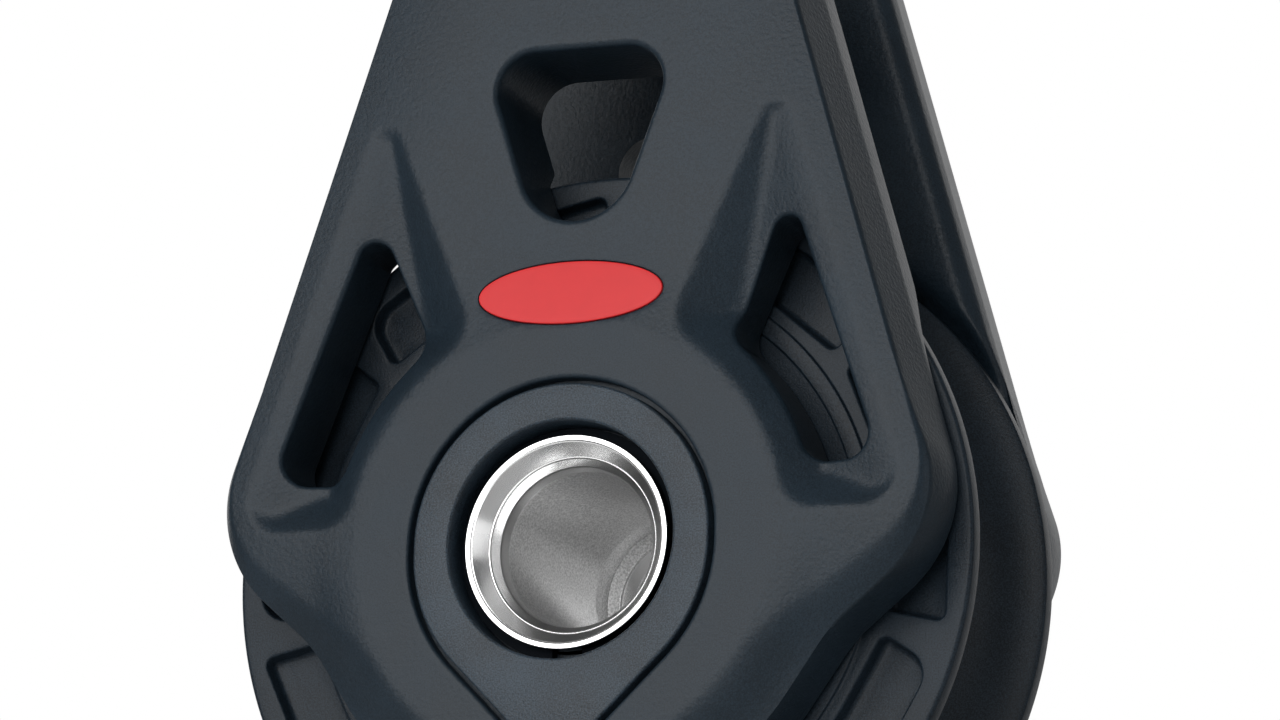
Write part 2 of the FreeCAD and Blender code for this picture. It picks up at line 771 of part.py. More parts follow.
def build_swivel():
    """Build the swivel post, which is screwed into the head block, and its two washers."""
    post = new_body("swivel_post")
    outline = [
        ("0", "post_foot"),
        ("post_radius", "post_foot"),
        ("post_radius", "post_seat"),
        ("post_head_radius", "post_seat"),
        ("post_head_radius", "post_top - post_head_chamfer"),
        ("post_head_radius - post_head_chamfer", "post_top"),
        ("0", "post_top"),
    ]
    turned(post, corners(post, "Section", "XZ_Plane", outline), "V_Axis")
    socket = sketch(post, "Socket", "XY_Plane", hexagon("post_socket_width"), "post_top")
    cut(post, "Pocket", socket, Length="post_socket_depth")
    for place, level in (("lower", "head_block_top"), ("upper", "crown_top")):
        washer = new_body(f"{place}_swivel_washer")
        edges = ["post_radius + swivel_fit", f"{place}_washer_radius"]
        loop = circles(washer, "Loop", "XY_Plane", edges, level)
        feature(washer, "Pad", loop, Length=f"{place}_washer_thickness")


def build_shackle_bow():
    """Build the shackle's bow: a bent bar with a crown boss for the swivel and two eyes for the pin."""
    body = new_body("shackle_bow")
    leg, bend = size("leg_offset"), size("bow_bend")
    level, top = size("bow_level"), size("pin_level")
    slant = bend * (1 - math.sqrt(0.5))
    route = [
        Part.LineSegment(point(-leg, top), point(-leg, level + bend)),
        Part.Arc(point(-leg, level + bend), point(-leg + slant, level + slant), point(-leg + bend, level)),
        Part.LineSegment(point(-leg + bend, level), point(leg - bend, level)),
        Part.Arc(point(leg - bend, level), point(leg - slant, level + slant), point(leg, level + bend)),
        Part.LineSegment(point(leg, level + bend), point(leg, top)),
    ]
    spine = sketch(body, "Route", "XZ_Plane", route)
    section = circles(body, "Section", "XY_Plane", ["bar_radius"], "pin_level", ("-leg_offset", "0"))
    feature(body, "AdditivePipe", section, Spine=(spine, []))
    boss = circles(body, "Boss", "XY_Plane", ["crown_boss_radius"], "crown_level")
    feature(body, "Pad", boss, Length="crown_boss_height")
    for side, start in (("Left", "-leg_offset - eye_half_width"), ("Right", "leg_offset - eye_half_width")):
        eye = circles(body, f"{side}Eye", "YZ_Plane", ["eye_radius"], start, ("0", "pin_level"))
        feature(body, "Pad", eye, Length="2 * eye_half_width")
    post_hole = circles(body, "PostHole", "XY_Plane", ["post_radius + swivel_fit"], "crown_top")
    cut(body, "Pocket", post_hole, Length="crown_boss_height")
    place = ("0", "pin_level")
    pin_hole = circles(body, "PinHole", "YZ_Plane", ["pin_radius + pin_fit"], "eye_reach", place)
    cut(body, "Pocket", pin_hole, Length="2 * eye_reach")


def build_shackle_pin():
    """Build the shackle's pin, with a collar and a thumb tab that has a hole for a seizing wire."""
    body = new_body("shackle_pin")
    outline = [
        ("-pin_tail", "0"),
        ("-pin_tail", "pin_radius - pin_end"),
        ("pin_end - pin_tail", "pin_radius"),
        ("pin_collar", "pin_radius"),
        ("pin_collar", "pin_collar_radius"),
        ("pin_collar_end", "pin_collar_radius"),
        ("pin_collar_end", "0"),
    ]
    turned(body, corners(body, "Section", "XZ_Plane", outline), "H_Axis")
    tab = sketch(body, "Tab", "XZ_Plane", tab_outline(), "-pin_tab_half_thickness")
    feature(body, "Pad", tab, Length="2 * pin_tab_half_thickness")
    hole = circles(body, "TabHole", "XZ_Plane", ["pin_tab_hole"], "pin_tab_half_thickness",
                   ("pin_collar_end + pin_tab_center", "0"))
    cut(body, "Pocket", hole, Length="2 * pin_tab_half_thickness")
    body.setExpression("Placement.Base.z", linked("pin_level"))


def tab_outline():
    """Return the pin's thumb tab: a round end on straight sides that start in the collar."""
    radius, neck = size("pin_tab_radius"), size("pin_tab_neck")
    center = size("pin_collar_end + pin_tab_center")
    root = size("pin_collar_end - pin_tab_root")
    join = center - math.sqrt(radius ** 2 - neck ** 2)
    return [
        Part.LineSegment(point(root, -neck), point(join, -neck)),
        Part.Arc(point(join, -neck), point(center + radius, 0.0), point(join, neck)),
        Part.LineSegment(point(join, neck), point(root, neck)),
        Part.LineSegment(point(root, neck), point(root, -neck)),
    ]


def write_parts():
    """Check every object and every sub-part, then write the sub-parts."""
    doc.recompute()
    for item in doc.Objects:
        bad = [state for state in item.State if state in ("Invalid", "Error")]
        if bad:
            raise RuntimeError(f"{item.Name} is {bad}")
    os.makedirs("parts", exist_ok=True)
    for part in parts:
        shape = part.Shape
        if shape.isNull() or not shape.isValid():
            raise RuntimeError(f"{part.Label} has no valid shape")
        shape.exportStep(f"parts/{part.Label}.step")
        box = shape.BoundBox
        print(f"{part.Label}: {len(shape.Solids)} solids, {shape.Volume:.0f} mm3, "
              f"{box.XLength:.1f} x {box.YLength:.1f} x {box.ZLength:.1f} mm")


build_cheek("front_cheek", True)
build_cheek("rear_cheek", False)
build_hub_tube()
build_hub_cover("front_hub_cover")
turn_round(build_hub_cover("rear_hub_cover"))
build_clip("front_retaining_clip")
turn_round(build_clip("rear_retaining_clip"))
build_sheave()
build_hub_bearing()
build_side_bearing("front")
build_side_bearing("rear")
build_badge()
build_head_block()
build_bolts()
build_swivel()
build_shackle_bow()
build_shackle_pin()
write_parts()
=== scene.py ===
"""Looks of a single sailing block with a through hub and a swivel shackle head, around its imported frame.

Sizes in the classes are millimetres, and meshes are written in metres. The hub's axis is Y and the origin is its
middle. +Z is towards the shackle, and +X is to the right of somebody who faces the front cheek, on the -Y side.
"""
import logging
import math
from collections.abc import Callable, Sequence
from dataclasses import dataclass, field
from enum import Enum
from functools import cached_property
from typing import Any

import bpy
import numpy as np
from mathutils import Matrix, Vector
from mathutils.geometry import delaunay_2d_cdt
from mathutils.kdtree import KDTree


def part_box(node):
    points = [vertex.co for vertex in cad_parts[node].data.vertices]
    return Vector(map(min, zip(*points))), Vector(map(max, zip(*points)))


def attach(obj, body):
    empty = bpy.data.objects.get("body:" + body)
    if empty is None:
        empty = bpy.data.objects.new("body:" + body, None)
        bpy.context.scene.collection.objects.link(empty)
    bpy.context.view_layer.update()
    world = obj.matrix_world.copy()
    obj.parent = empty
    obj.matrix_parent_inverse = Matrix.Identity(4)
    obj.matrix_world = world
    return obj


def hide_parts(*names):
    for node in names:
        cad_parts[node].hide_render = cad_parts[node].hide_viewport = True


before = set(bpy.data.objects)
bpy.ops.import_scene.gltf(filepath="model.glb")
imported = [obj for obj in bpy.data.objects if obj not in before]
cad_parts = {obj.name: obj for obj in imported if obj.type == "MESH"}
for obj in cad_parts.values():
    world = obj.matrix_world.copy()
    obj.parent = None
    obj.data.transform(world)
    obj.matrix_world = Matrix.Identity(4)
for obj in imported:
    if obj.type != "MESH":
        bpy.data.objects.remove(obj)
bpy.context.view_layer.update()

logging.basicConfig(level=logging.INFO, format="%(message)s")
log = logging.getLogger("sailing_block")

MM = 0.001
LAMP_AIM = Vector((0.0, 0.0, 0.02))  # the point that the lamps face, in metres
BEND = (0.002, 0.001)  # how strongly bent() curves the plane along its two axes
NEARLY_STRAIGHT = math.radians(89)  # half of a corner's angle, past which it isn't rounded
ROUND_SHARE = 0.49  # most of a side that one round may take up
TEST_BATCH = 4000  # points that are tested against a ring at a time
BORDER_GAP = 0.5  # least way from a lattice point to the border, in lattice steps
CREASE_GAP = 0.6  # least way from a lattice point to a crease, in lattice steps
SHINE_SWING = 0.08  # how far one noise moves a roughness
Points = np.ndarray
Level = Callable[[np.ndarray, np.ndarray], np.ndarray]
Colour = tuple[float, float, float]


def node_box(node: str) -> tuple[np.ndarray, np.ndarray]:
    """Return a frame node's lowest and highest corner in millimetres."""
    low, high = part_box(node)
    return np.array(low) / MM, np.array(high) / MM


def direction(azimuth: float, elevation: float) -> Vector:
    """Return the unit direction at two angles in degrees. Azimuth 0 is in front of the block and 90 on its right."""
    turn, rise = math.radians(azimuth), math.radians(elevation)
    return Vector((math.sin(turn) * math.cos(rise), -math.cos(turn) * math.cos(rise), math.sin(rise)))


def scaled(colour: Colour, factor: float) -> Colour:
    """Return a colour times a factor, held to white."""
    return tuple(min(1.0, factor * part) for part in colour)


def smooth(share: np.ndarray) -> np.ndarray:
    """Return an eased step: 3 s squared less 2 s cubed, for s held between 0 and 1."""
    held = np.clip(share, 0.0, 1.0)
    return held * held * (3.0 - 2.0 * held)


# Outlines in the plane of X and Z


@dataclass(frozen=True)
class Outline:
    """A closed outline of straight lines with round corners, run anticlockwise.

    Each line is (angle of a normal in degrees, distance from the hub's axis along it, radius of its corner with the
    next line). A corner whose radius equals the distance of both lines is an arc about the hub's axis.
    """

    lines: tuple[tuple[float, float, float], ...]

    @classmethod
    def around(cls, centre: tuple[float, float], reach: float, radius: float, sides: int = 4) -> "Outline":
        """Return a regular outline about a centre: a circle where the corner radius equals the reach.

        Args:
            centre: X and Z of the middle.
            reach: distance from the middle to each side.
            radius: radius of the corners.
            sides: number of sides.

        Returns:
            The outline.
        """
        angles = 90.0 + np.arange(sides) * 360.0 / sides
        shift = np.cos(np.radians(angles)) * centre[0] + np.sin(np.radians(angles)) * centre[1]
        return cls(tuple((float(a), float(s) + reach, radius) for a, s in zip(angles, shift)))

    @cached_property
    def corner(self) -> np.ndarray:
        """Where each line meets the next, before the corner is rounded."""
        angle, distance = (np.array([line[i] for line in self.lines], float) for i in (0, 1))
        spoke = np.stack([np.cos(np.radians(angle)), np.sin(np.radians(angle))], axis=1)
        following, beyond = np.roll(spoke, -1, axis=0), np.roll(distance, -1)
        cross = spoke[:, 0] * following[:, 1] - spoke[:, 1] * following[:, 0]
        return np.stack([(distance * following[:, 1] - beyond * spoke[:, 1]) / cross,
                         (beyond * spoke[:, 0] - distance * following[:, 0]) / cross], axis=1)

    @cached_property
    def normal(self) -> np.ndarray:
        """Outward normal of each line, which lies on the right of the way along it."""
        run = self.corner - np.roll(self.corner, 1, axis=0)
        run /= np.linalg.norm(run, axis=1)[:, None]
        return np.stack([run[:, 1], -run[:, 0]], axis=1)

    @cached_property
    def radius(self) -> np.ndarray:
        """Radius of the corner after each line."""
        return np.array([line[2] for line in self.lines], float)

    @cached_property
    def turn(self) -> np.ndarray:
        """Angle by which the outline turns at the corner after each line, negative where it is hollow."""
        following = np.roll(self.normal, -1, axis=0)
        cross = self.normal[:, 0] * following[:, 1] - self.normal[:, 1] * following[:, 0]
        return np.arctan2(cross, (self.normal * following).sum(axis=1))

    @cached_property
    def arc_ends(self) -> tuple[np.ndarray, np.ndarray, np.ndarray]:
        """Start, end and centre of each corner's arc."""
        along = np.stack([-self.normal[:, 1], self.normal[:, 0]], axis=1)
        reach = (self.radius * np.tan(np.abs(self.turn) / 2))[:, None]
        start = self.corner - along * reach
        end = self.corner + np.roll(along, -1, axis=0) * reach
        centre = start - self.normal * (self.radius * np.sign(self.turn))[:, None]
        return start, end, centre

    def mirrored(self) -> "Outline":
        """Return the outline on the other side of the middle plane, still run anticlockwise."""
        count = len(self.lines)
        order = range(count - 1, -1, -1)
        return Outline(tuple((180.0 - self.lines[i][0], self.lines[i][1], self.lines[i - 1][2]) for i in order))

    def loop(self, step: float) -> tuple[np.ndarray, np.ndarray]:
        """Return points along the outline and the outward normal at each.

        Args:
            step: wanted distance between points.

        Returns:
            Points and unit normals, both N by 2. A straight stretch runs from one arc's end to the next one's
            start. An arc's point is its centre plus its radius times the normal, whose angle grows evenly.
        """
        start, end, centre = self.arc_ends
        points, normals = [], []
        for i, normal in enumerate(self.normal):
            length = float(np.linalg.norm(start[i] - end[i - 1]))
            if length > step * 0.05:
                share = np.linspace(0.0, 1.0, max(1, round(length / step)), endpoint=False)[:, None]
                points.append(end[i - 1] + (start[i] - end[i - 1]) * share)
                normals.append(np.repeat(normal[None], len(share), axis=0))
            count = max(3, round(self.radius[i] * abs(self.turn[i]) / step), round(abs(self.turn[i]) * 8))
            angle = math.atan2(normal[1], normal[0]) + np.linspace(0.0, self.turn[i], count, endpoint=False)
            spoke = np.stack([np.cos(angle), np.sin(angle)], axis=1)
            points.append(centre[i] + spoke * self.radius[i] * np.sign(self.turn[i]))
            normals.append(spoke)
        return np.concatenate(points), np.concatenate(normals)

    def distance(self, x: np.ndarray, z: np.ndarray) -> np.ndarray:
        """Return the distance from the outline, negative inside it.

        Args:
            x: X of each point.
            z: Z of each point.

        Returns:
            The signed distance to the nearest line or arc whose own stretch faces the point.
        """
        start, end, centre = self.arc_ends
        spot = np.stack([x, z], axis=-1)[..., None, :]
        before = np.roll(end, 1, axis=0)
        run = start - before
        length = np.linalg.norm(run, axis=1)
        share = ((spot - before) * run).sum(axis=-1) / np.maximum(length, 1e-9) ** 2
        to_line = ((spot - before) * self.normal).sum(axis=-1)
        faced = (share >= -1e-6) & (share <= 1 + 1e-6) & (length > 1e-4)
        to_line = np.where(faced, to_line, np.inf)
        bend = np.sign(self.turn)
        spoke = (spot - centre) * bend[:, None]
        middle = np.arctan2(self.normal[:, 1], self.normal[:, 0]) + self.turn / 2
        swing = np.arctan2(spoke[..., 1], spoke[..., 0]) - middle
        swing = np.abs((swing + np.pi) % (2 * np.pi) - np.pi)
        to_arc = (np.linalg.norm(spoke, axis=-1) - self.radius) * bend
        to_arc = np.where(swing <= np.abs(self.turn) / 2 + 1e-6, to_arc, np.inf)
        both = np.concatenate([to_arc, to_line], axis=-1)
        nearest = np.abs(both).argmin(axis=-1)
        return np.take_along_axis(both, nearest[..., None], axis=-1)[..., 0]


@dataclass(frozen=True)
class Oval:
    """An ellipse in the plane of X and Z."""

    width: float
    height: float
    level: float

    def loop(self, step: float) -> tuple[np.ndarray, np.ndarray]:
        """Return points along the ellipse and the outward normal at each.

        Args:
            step: wanted distance between points.

        Returns:
            Points at even steps of the ellipse's own angle, and unit normals.
        """
        count = round(math.pi * (self.width + self.height) / 2 / step)
        angle = np.linspace(0.0, 2 * math.pi, count, endpoint=False)
        half = np.array([self.width, self.height]) / 2
        spoke = np.stack([np.cos(angle), np.sin(angle)], axis=1)
        normal = spoke / half
        normal /= np.linalg.norm(normal, axis=1)[:, None]
        return spoke * half + (0.0, self.level), normal


def circle(radius: float, centre: tuple[float, float] = (0.0, 0.0)) -> Outline:
    """Return a circle as an outline."""
    return Outline.around(centre, radius, radius)


# Meshes


class Surface:
    """Vertices and faces gathered for one mesh. Points are millimetres in the frame's axes."""

    def __init__(self) -> None:
        """Start with nothing."""
        self.points: list[np.ndarray] = []
        self.faces: list[np.ndarray] = []
        self.count = 0

    def add(self, points: Points) -> np.ndarray:
        """Add an array of points and return their numbers in the same arrangement."""
        flat = points.reshape(-1, 3)
        numbers = np.arange(self.count, self.count + len(flat)).reshape(points.shape[:-1])
        self.points.append(flat)
        self.count += len(flat)
        return numbers

    def skin(self, numbers: np.ndarray, flip: bool = False, closed: bool = True) -> None:
        """Add the four-sided faces of a grid of numbered points.

        Args:
            numbers: point numbers, rows by columns.
            flip: turn the faces round.
            closed: join the last column to the first.
        """
        grid = np.concatenate([numbers, numbers[:, :1]], axis=1) if closed else numbers
        sides = [grid[:-1, :-1], grid[:-1, 1:], grid[1:, 1:], grid[1:, :-1]]
        self.faces.append(np.stack(sides[::-1] if flip else sides, axis=-1).reshape(-1, 4))

    def fan(self, ring: np.ndarray, tip: int, flip: bool = False) -> None:
        """Close a ring of points with three-sided faces that meet at one point."""
        sides = [ring, np.roll(ring, -1), np.full_like(ring, tip)]
        self.faces.append(np.stack(sides[::-1] if flip else sides, axis=-1))

    def volume(self, points: Points) -> float:
        """Return the enclosed volume, the sum of each triangle's with the origin. It is negative inside out."""
        total = 0.0
        for group in self.faces:
            for i in range(1, group.shape[1] - 1):
                first, second, third = points[group[:, 0]], points[group[:, i]], points[group[:, i + 1]]
                total += float((first * np.cross(second, third)).sum()) / 6
        return total

    def piece(self, name: str, finish: "Finish", body: str, crease: float = 50.0) -> bpy.types.Object:
        """Make the mesh and its object, and let it ride on a body.

        Args:
            name: the object's name.
            finish: what it is dressed in.
            body: the frame body that carries it.
            crease: angle in degrees past which an edge stays sharp.

        Returns:
            The object, at the origin, with its place in its mesh.
        """
        points = np.concatenate(self.points)
        groups = self.faces if self.volume(points) > 0 else [group[:, ::-1] for group in self.faces]
        mesh = bpy.data.meshes.new(name)
        mesh.from_pydata((points * MM).tolist(), [], [face for group in groups for face in group.tolist()])
        mesh.shade_smooth()
        mesh.set_sharp_from_angle(angle=math.radians(crease))
        mesh.materials.append(finish.material())
        made = bpy.data.objects.new(name, mesh)
        bpy.context.scene.collection.objects.link(made)
        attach(made, body)
        log.info("%s: %d vertices, %d faces", name, len(mesh.vertices), len(mesh.polygons))
        return made


def turned(surface: Surface, profile: Points, count: int, closed: bool = True, flip: bool = True) -> np.ndarray:
    """Turn a profile a full round about the Y axis.

    Args:
        surface: where the points and faces go.
        profile: rows of (radius, y).
        count: steps round.
        closed: join the profile's last row to its first.
        flip: turn the faces away from the axis where the profile runs towards +Y.

    Returns:
        The point numbers. Point (i, j) is at angle j: x is the radius times its cosine, z its sine.
    """
    angle = np.linspace(0.0, 2 * math.pi, count, endpoint=False)
    radius, level = profile[:, :1], profile[:, 1:]
    numbers = surface.add(np.stack([radius * np.cos(angle), level + 0 * angle, radius * np.sin(angle)], axis=-1))
    surface.skin(np.concatenate([numbers, numbers[:1]]) if closed else numbers, flip=flip)
    return numbers


def rounded(corners: Sequence[tuple[float, float, float]], steps: int = 5) -> Points:
    """Return a closed profile with its corners rounded.

    Args:
        corners: rows of (radius from the axis, y, round at this corner).
        steps: points on each round.

    Returns:
        Points along the profile. A round is the arc that touches both of its corner's sides.
    """
    spots = np.array([corner[:2] for corner in corners], float)
    made = []
    for i, (_, _, size) in enumerate(corners):
        here = spots[i]
        back, ahead = spots[i - 1] - here, spots[(i + 1) % len(spots)] - here
        back_length, ahead_length = np.linalg.norm(back), np.linalg.norm(ahead)
        back, ahead = back / back_length, ahead / ahead_length
        half = math.acos(float(np.clip(back @ ahead, -1.0, 1.0))) / 2
        if size <= 0 or half > NEARLY_STRAIGHT:
            made.append(here[None])
            continue
        reach = min(size / math.tan(half), ROUND_SHARE * back_length, ROUND_SHARE * ahead_length)
        size = reach * math.tan(half)
        centre = here + (back + ahead) / np.linalg.norm(back + ahead) * (size / math.sin(half))
        first, last = here + back * reach - centre, here + ahead * reach - centre
        sweep = math.pi - 2 * half
        share = np.linspace(0.0, 1.0, steps)[:, None]
        made.append(centre + (first * np.sin((1 - share) * sweep) + last * np.sin(share * sweep)) / math.sin(sweep))
    return np.concatenate(made)


def quarter(size: float, steps: int) -> list[tuple[float, float]]:
    """Return a quarter round from its wall to its face, as rows of (distance from the wall, drop from the face)."""
    return [(size * (1 - math.cos(turn)), size * (1 - math.sin(turn)))
            for turn in np.radians(np.linspace(0.0, 90.0, steps))]


# Flat faces with rims


class Side(Enum):
    """Which side of the block: its sign is that of the turn from the front about the upright axis."""

    FRONT = 1.0
    REAR = -1.0

    def placed(self, places: np.ndarray, levels: np.ndarray) -> Points:
        """Return points of the frame for places in the plane and levels out of the block's middle plane."""
        return np.stack([self.value * places[..., 0], -self.value * levels, places[..., 1]], axis=-1)


@dataclass
class Edge:
    """A ring on the border of a face: its places, its point numbers, and whether the face lies inside it."""

    places: np.ndarray
    numbers: np.ndarray
    outer: bool = True

    def holds(self, points: np.ndarray) -> np.ndarray:
        """Return which points lie on the face's side. A ray along X crosses the ring oddly often from inside it."""
        held = np.zeros(len(points), bool)
        within = (points > self.places.min(axis=0)) & (points < self.places.max(axis=0))
        near = np.nonzero(within.all(axis=1))[0]
        ahead = np.roll(self.places, -1, axis=0)
        run = ahead - self.places
        for part in np.array_split(near, max(1, len(near) // TEST_BATCH)):
            x, z = points[part, 0][:, None], points[part, 1][:, None]
            spans = (self.places[:, 0] > x) != (ahead[:, 0] > x)
            cross = (x - self.places[:, 0]) * run[:, 1] - (z - self.places[:, 1]) * run[:, 0]
            held[part] = (spans & (cross * np.sign(run[:, 0]) > 0)).sum(axis=1) % 2 == 1
        return held if self.outer else ~held


def valued(value: float | Level, places: np.ndarray) -> np.ndarray:
    """Return a value at each place, where it is a number or a function of X and Z."""
    return value(places[:, 0], places[:, 1]) if callable(value) else np.full(len(places), value)


@dataclass
class Rim:
    """A moulded edge of a face: rings of points from the deepest one to the face.

    Steps are (distance out of the outline, level). Each is a number, or a function of X and Z. A blind rim's first
    ring is closed with a flat floor.
    """

    outline: Outline | Oval
    steps: list[tuple[float | Level, float | Level]]
    outer: bool = False
    blind: bool = False
    spacing: float = 0.3
    floor_grid: float = 0.9

    def rings(self) -> tuple[np.ndarray, np.ndarray]:
        """Return the rings' points in the plane and their levels.

        Returns:
            Points, rings by N by 2, each the outline's point plus the distance times its normal, and levels.
        """
        points, normals = self.outline.loop(self.spacing)
        places = np.stack([points + normals * valued(far, points)[:, None] for far, _ in self.steps])
        return places, np.stack([valued(level, place) for (_, level), place in zip(self.steps, places)])

    def build(self, surface: Surface, side: Side) -> tuple[Edge, Edge]:
        """Add the rings and return the first and the last.

        Args:
            surface: where the points and faces go.
            side: the side of the block.

        Returns:
            The deepest edge and the one at the face.
        """
        places, levels = self.rings()
        numbers = surface.add(side.placed(places, levels))
        surface.skin(numbers, flip=not self.outer)
        if self.blind:
            floor = float(levels[0][0])
            foot = Edge(places[0], numbers[0])
            fill(surface, side, [foot], lambda x, z: np.full_like(x, floor), self.floor_grid)
        return Edge(places[0], numbers[0], self.outer), Edge(places[-1], numbers[-1], self.outer)


def bent(places: np.ndarray) -> np.ndarray:
    """Return places moved along a gentle parabola, so that no three points of a straight edge lie in line."""
    return places + np.stack([BEND[0] * places[..., 1] ** 2, BEND[1] * places[..., 0] ** 2], axis=-1)


def fill(surface: Surface, side: Side, edges: list[Edge], level: Level, grid: float,
         creases: Sequence[np.ndarray] = (), flip: bool = False) -> None:
    """Fill a face between its edges with triangles on an even lattice.

    Args:
        surface: where the faces go.
        side: the side of the block.
        edges: the rings on its border.
        level: the face's level as a function of X and Z.
        grid: side of the lattice's triangles.
        creases: further rings that the triangles' sides follow.
        flip: turn the faces to the block's middle.
    """
    rings = [edge.places for edge in edges]
    kept = [np.full(len(ring), True) for ring in rings]
    border = np.concatenate(rings)
    low, high = border.min(axis=0), border.max(axis=0)
    x, z = np.meshgrid(np.arange(low[0], high[0], grid), np.arange(low[1], high[1], grid * math.sqrt(3) / 2))
    x = x + (np.arange(len(x)) % 2)[:, None] * grid / 2
    lattice = np.stack([x.ravel(), z.ravel()], axis=1)
    for ring in creases:
        rings.append(ring)
        clear = apart(ring, border, grid * BORDER_GAP)
        kept.append(np.logical_and.reduce([edge.holds(ring) for edge in edges]) & clear)
        lattice = lattice[apart(lattice, ring, grid * CREASE_GAP)]
    for edge in edges:
        lattice = lattice[edge.holds(lattice)]
    lattice = lattice[apart(lattice, border, grid * BORDER_GAP)]
    pairs, start = [], 0
    for held in kept:
        number = start + np.cumsum(held) - 1
        pairs += np.stack([number, np.roll(number, -1)], axis=1)[held & np.roll(held, -1)].tolist()
        start += int(held.sum())
    places = np.concatenate([*(ring[held] for ring, held in zip(rings, kept)), lattice])
    inner = places[len(border):]
    added = surface.add(side.placed(inner, level(inner[:, 0], inner[:, 1])))
    numbers = np.concatenate([*(edge.numbers for edge in edges), added])
    spots = bent(places)
    _, _, faces, origins, _, _ = delaunay_2d_cdt([Vector(spot) for spot in spots.tolist()], pairs, [], 0, 1e-7)
    triangles = np.array([origin[0] for origin in origins])[np.array(faces)]
    middle = spots[triangles].mean(axis=1)
    warped = [Edge(bent(edge.places), edge.numbers, edge.outer) for edge in edges]
    triangles = numbers[triangles[np.logical_and.reduce([edge.holds(middle) for edge in warped])]]
    surface.faces.append(triangles[:, ::-1] if flip else triangles)


def apart(points: np.ndarray, marks: np.ndarray, reach: float) -> np.ndarray:
    """Return which points lie further than reach from every mark."""
    tree = KDTree(len(marks))
    for i, mark in enumerate(marks.tolist()):
        tree.insert((*mark, 0.0), i)
    tree.balance()
    return np.array([tree.find((*point, 0.0))[2] > reach for point in points.tolist()], bool)


# Shader expressions


class Signal:
    """A value that varies over a surface. Sums and products of signals add Math nodes."""

    def __init__(self, tree: "ShaderTree", socket: bpy.types.NodeSocket) -> None:
        """Wrap one output socket."""
        self.tree = tree
        self.socket = socket

    def through(self, operation: str, *others: Any) -> "Signal":
        """Return the result of one Math node on this signal and others."""
        inputs = dict(enumerate((self, *others)))
        return self.tree.node("ShaderNodeMath", {"operation": operation}, inputs)

    def __add__(self, other: Any) -> "Signal":
        """Return the sum."""
        return self.through("ADD", other)

    __radd__ = __add__

    def __mul__(self, other: Any) -> "Signal":
        """Return the product."""
        return self.through("MULTIPLY", other)

    __rmul__ = __mul__

    def __sub__(self, other: Any) -> "Signal":
        """Return the difference."""
        return self.through("SUBTRACT", other)

    def __rsub__(self, other: Any) -> "Signal":
        """Return a number less this signal."""
        return self.through("MULTIPLY", -1.0) + other

    def size(self) -> "Signal":
        """Return the value without its sign."""
        return self.through("ABSOLUTE")

    def step(self, low: float, high: float) -> "Signal":
        """Return an eased step from 0 at one value to 1 at another."""
        settings = {"interpolation_type": "SMOOTHSTEP"}
        return self.tree.node("ShaderNodeMapRange", settings, {0: self, 1: low, 2: high, 3: 0.0, 4: 1.0})


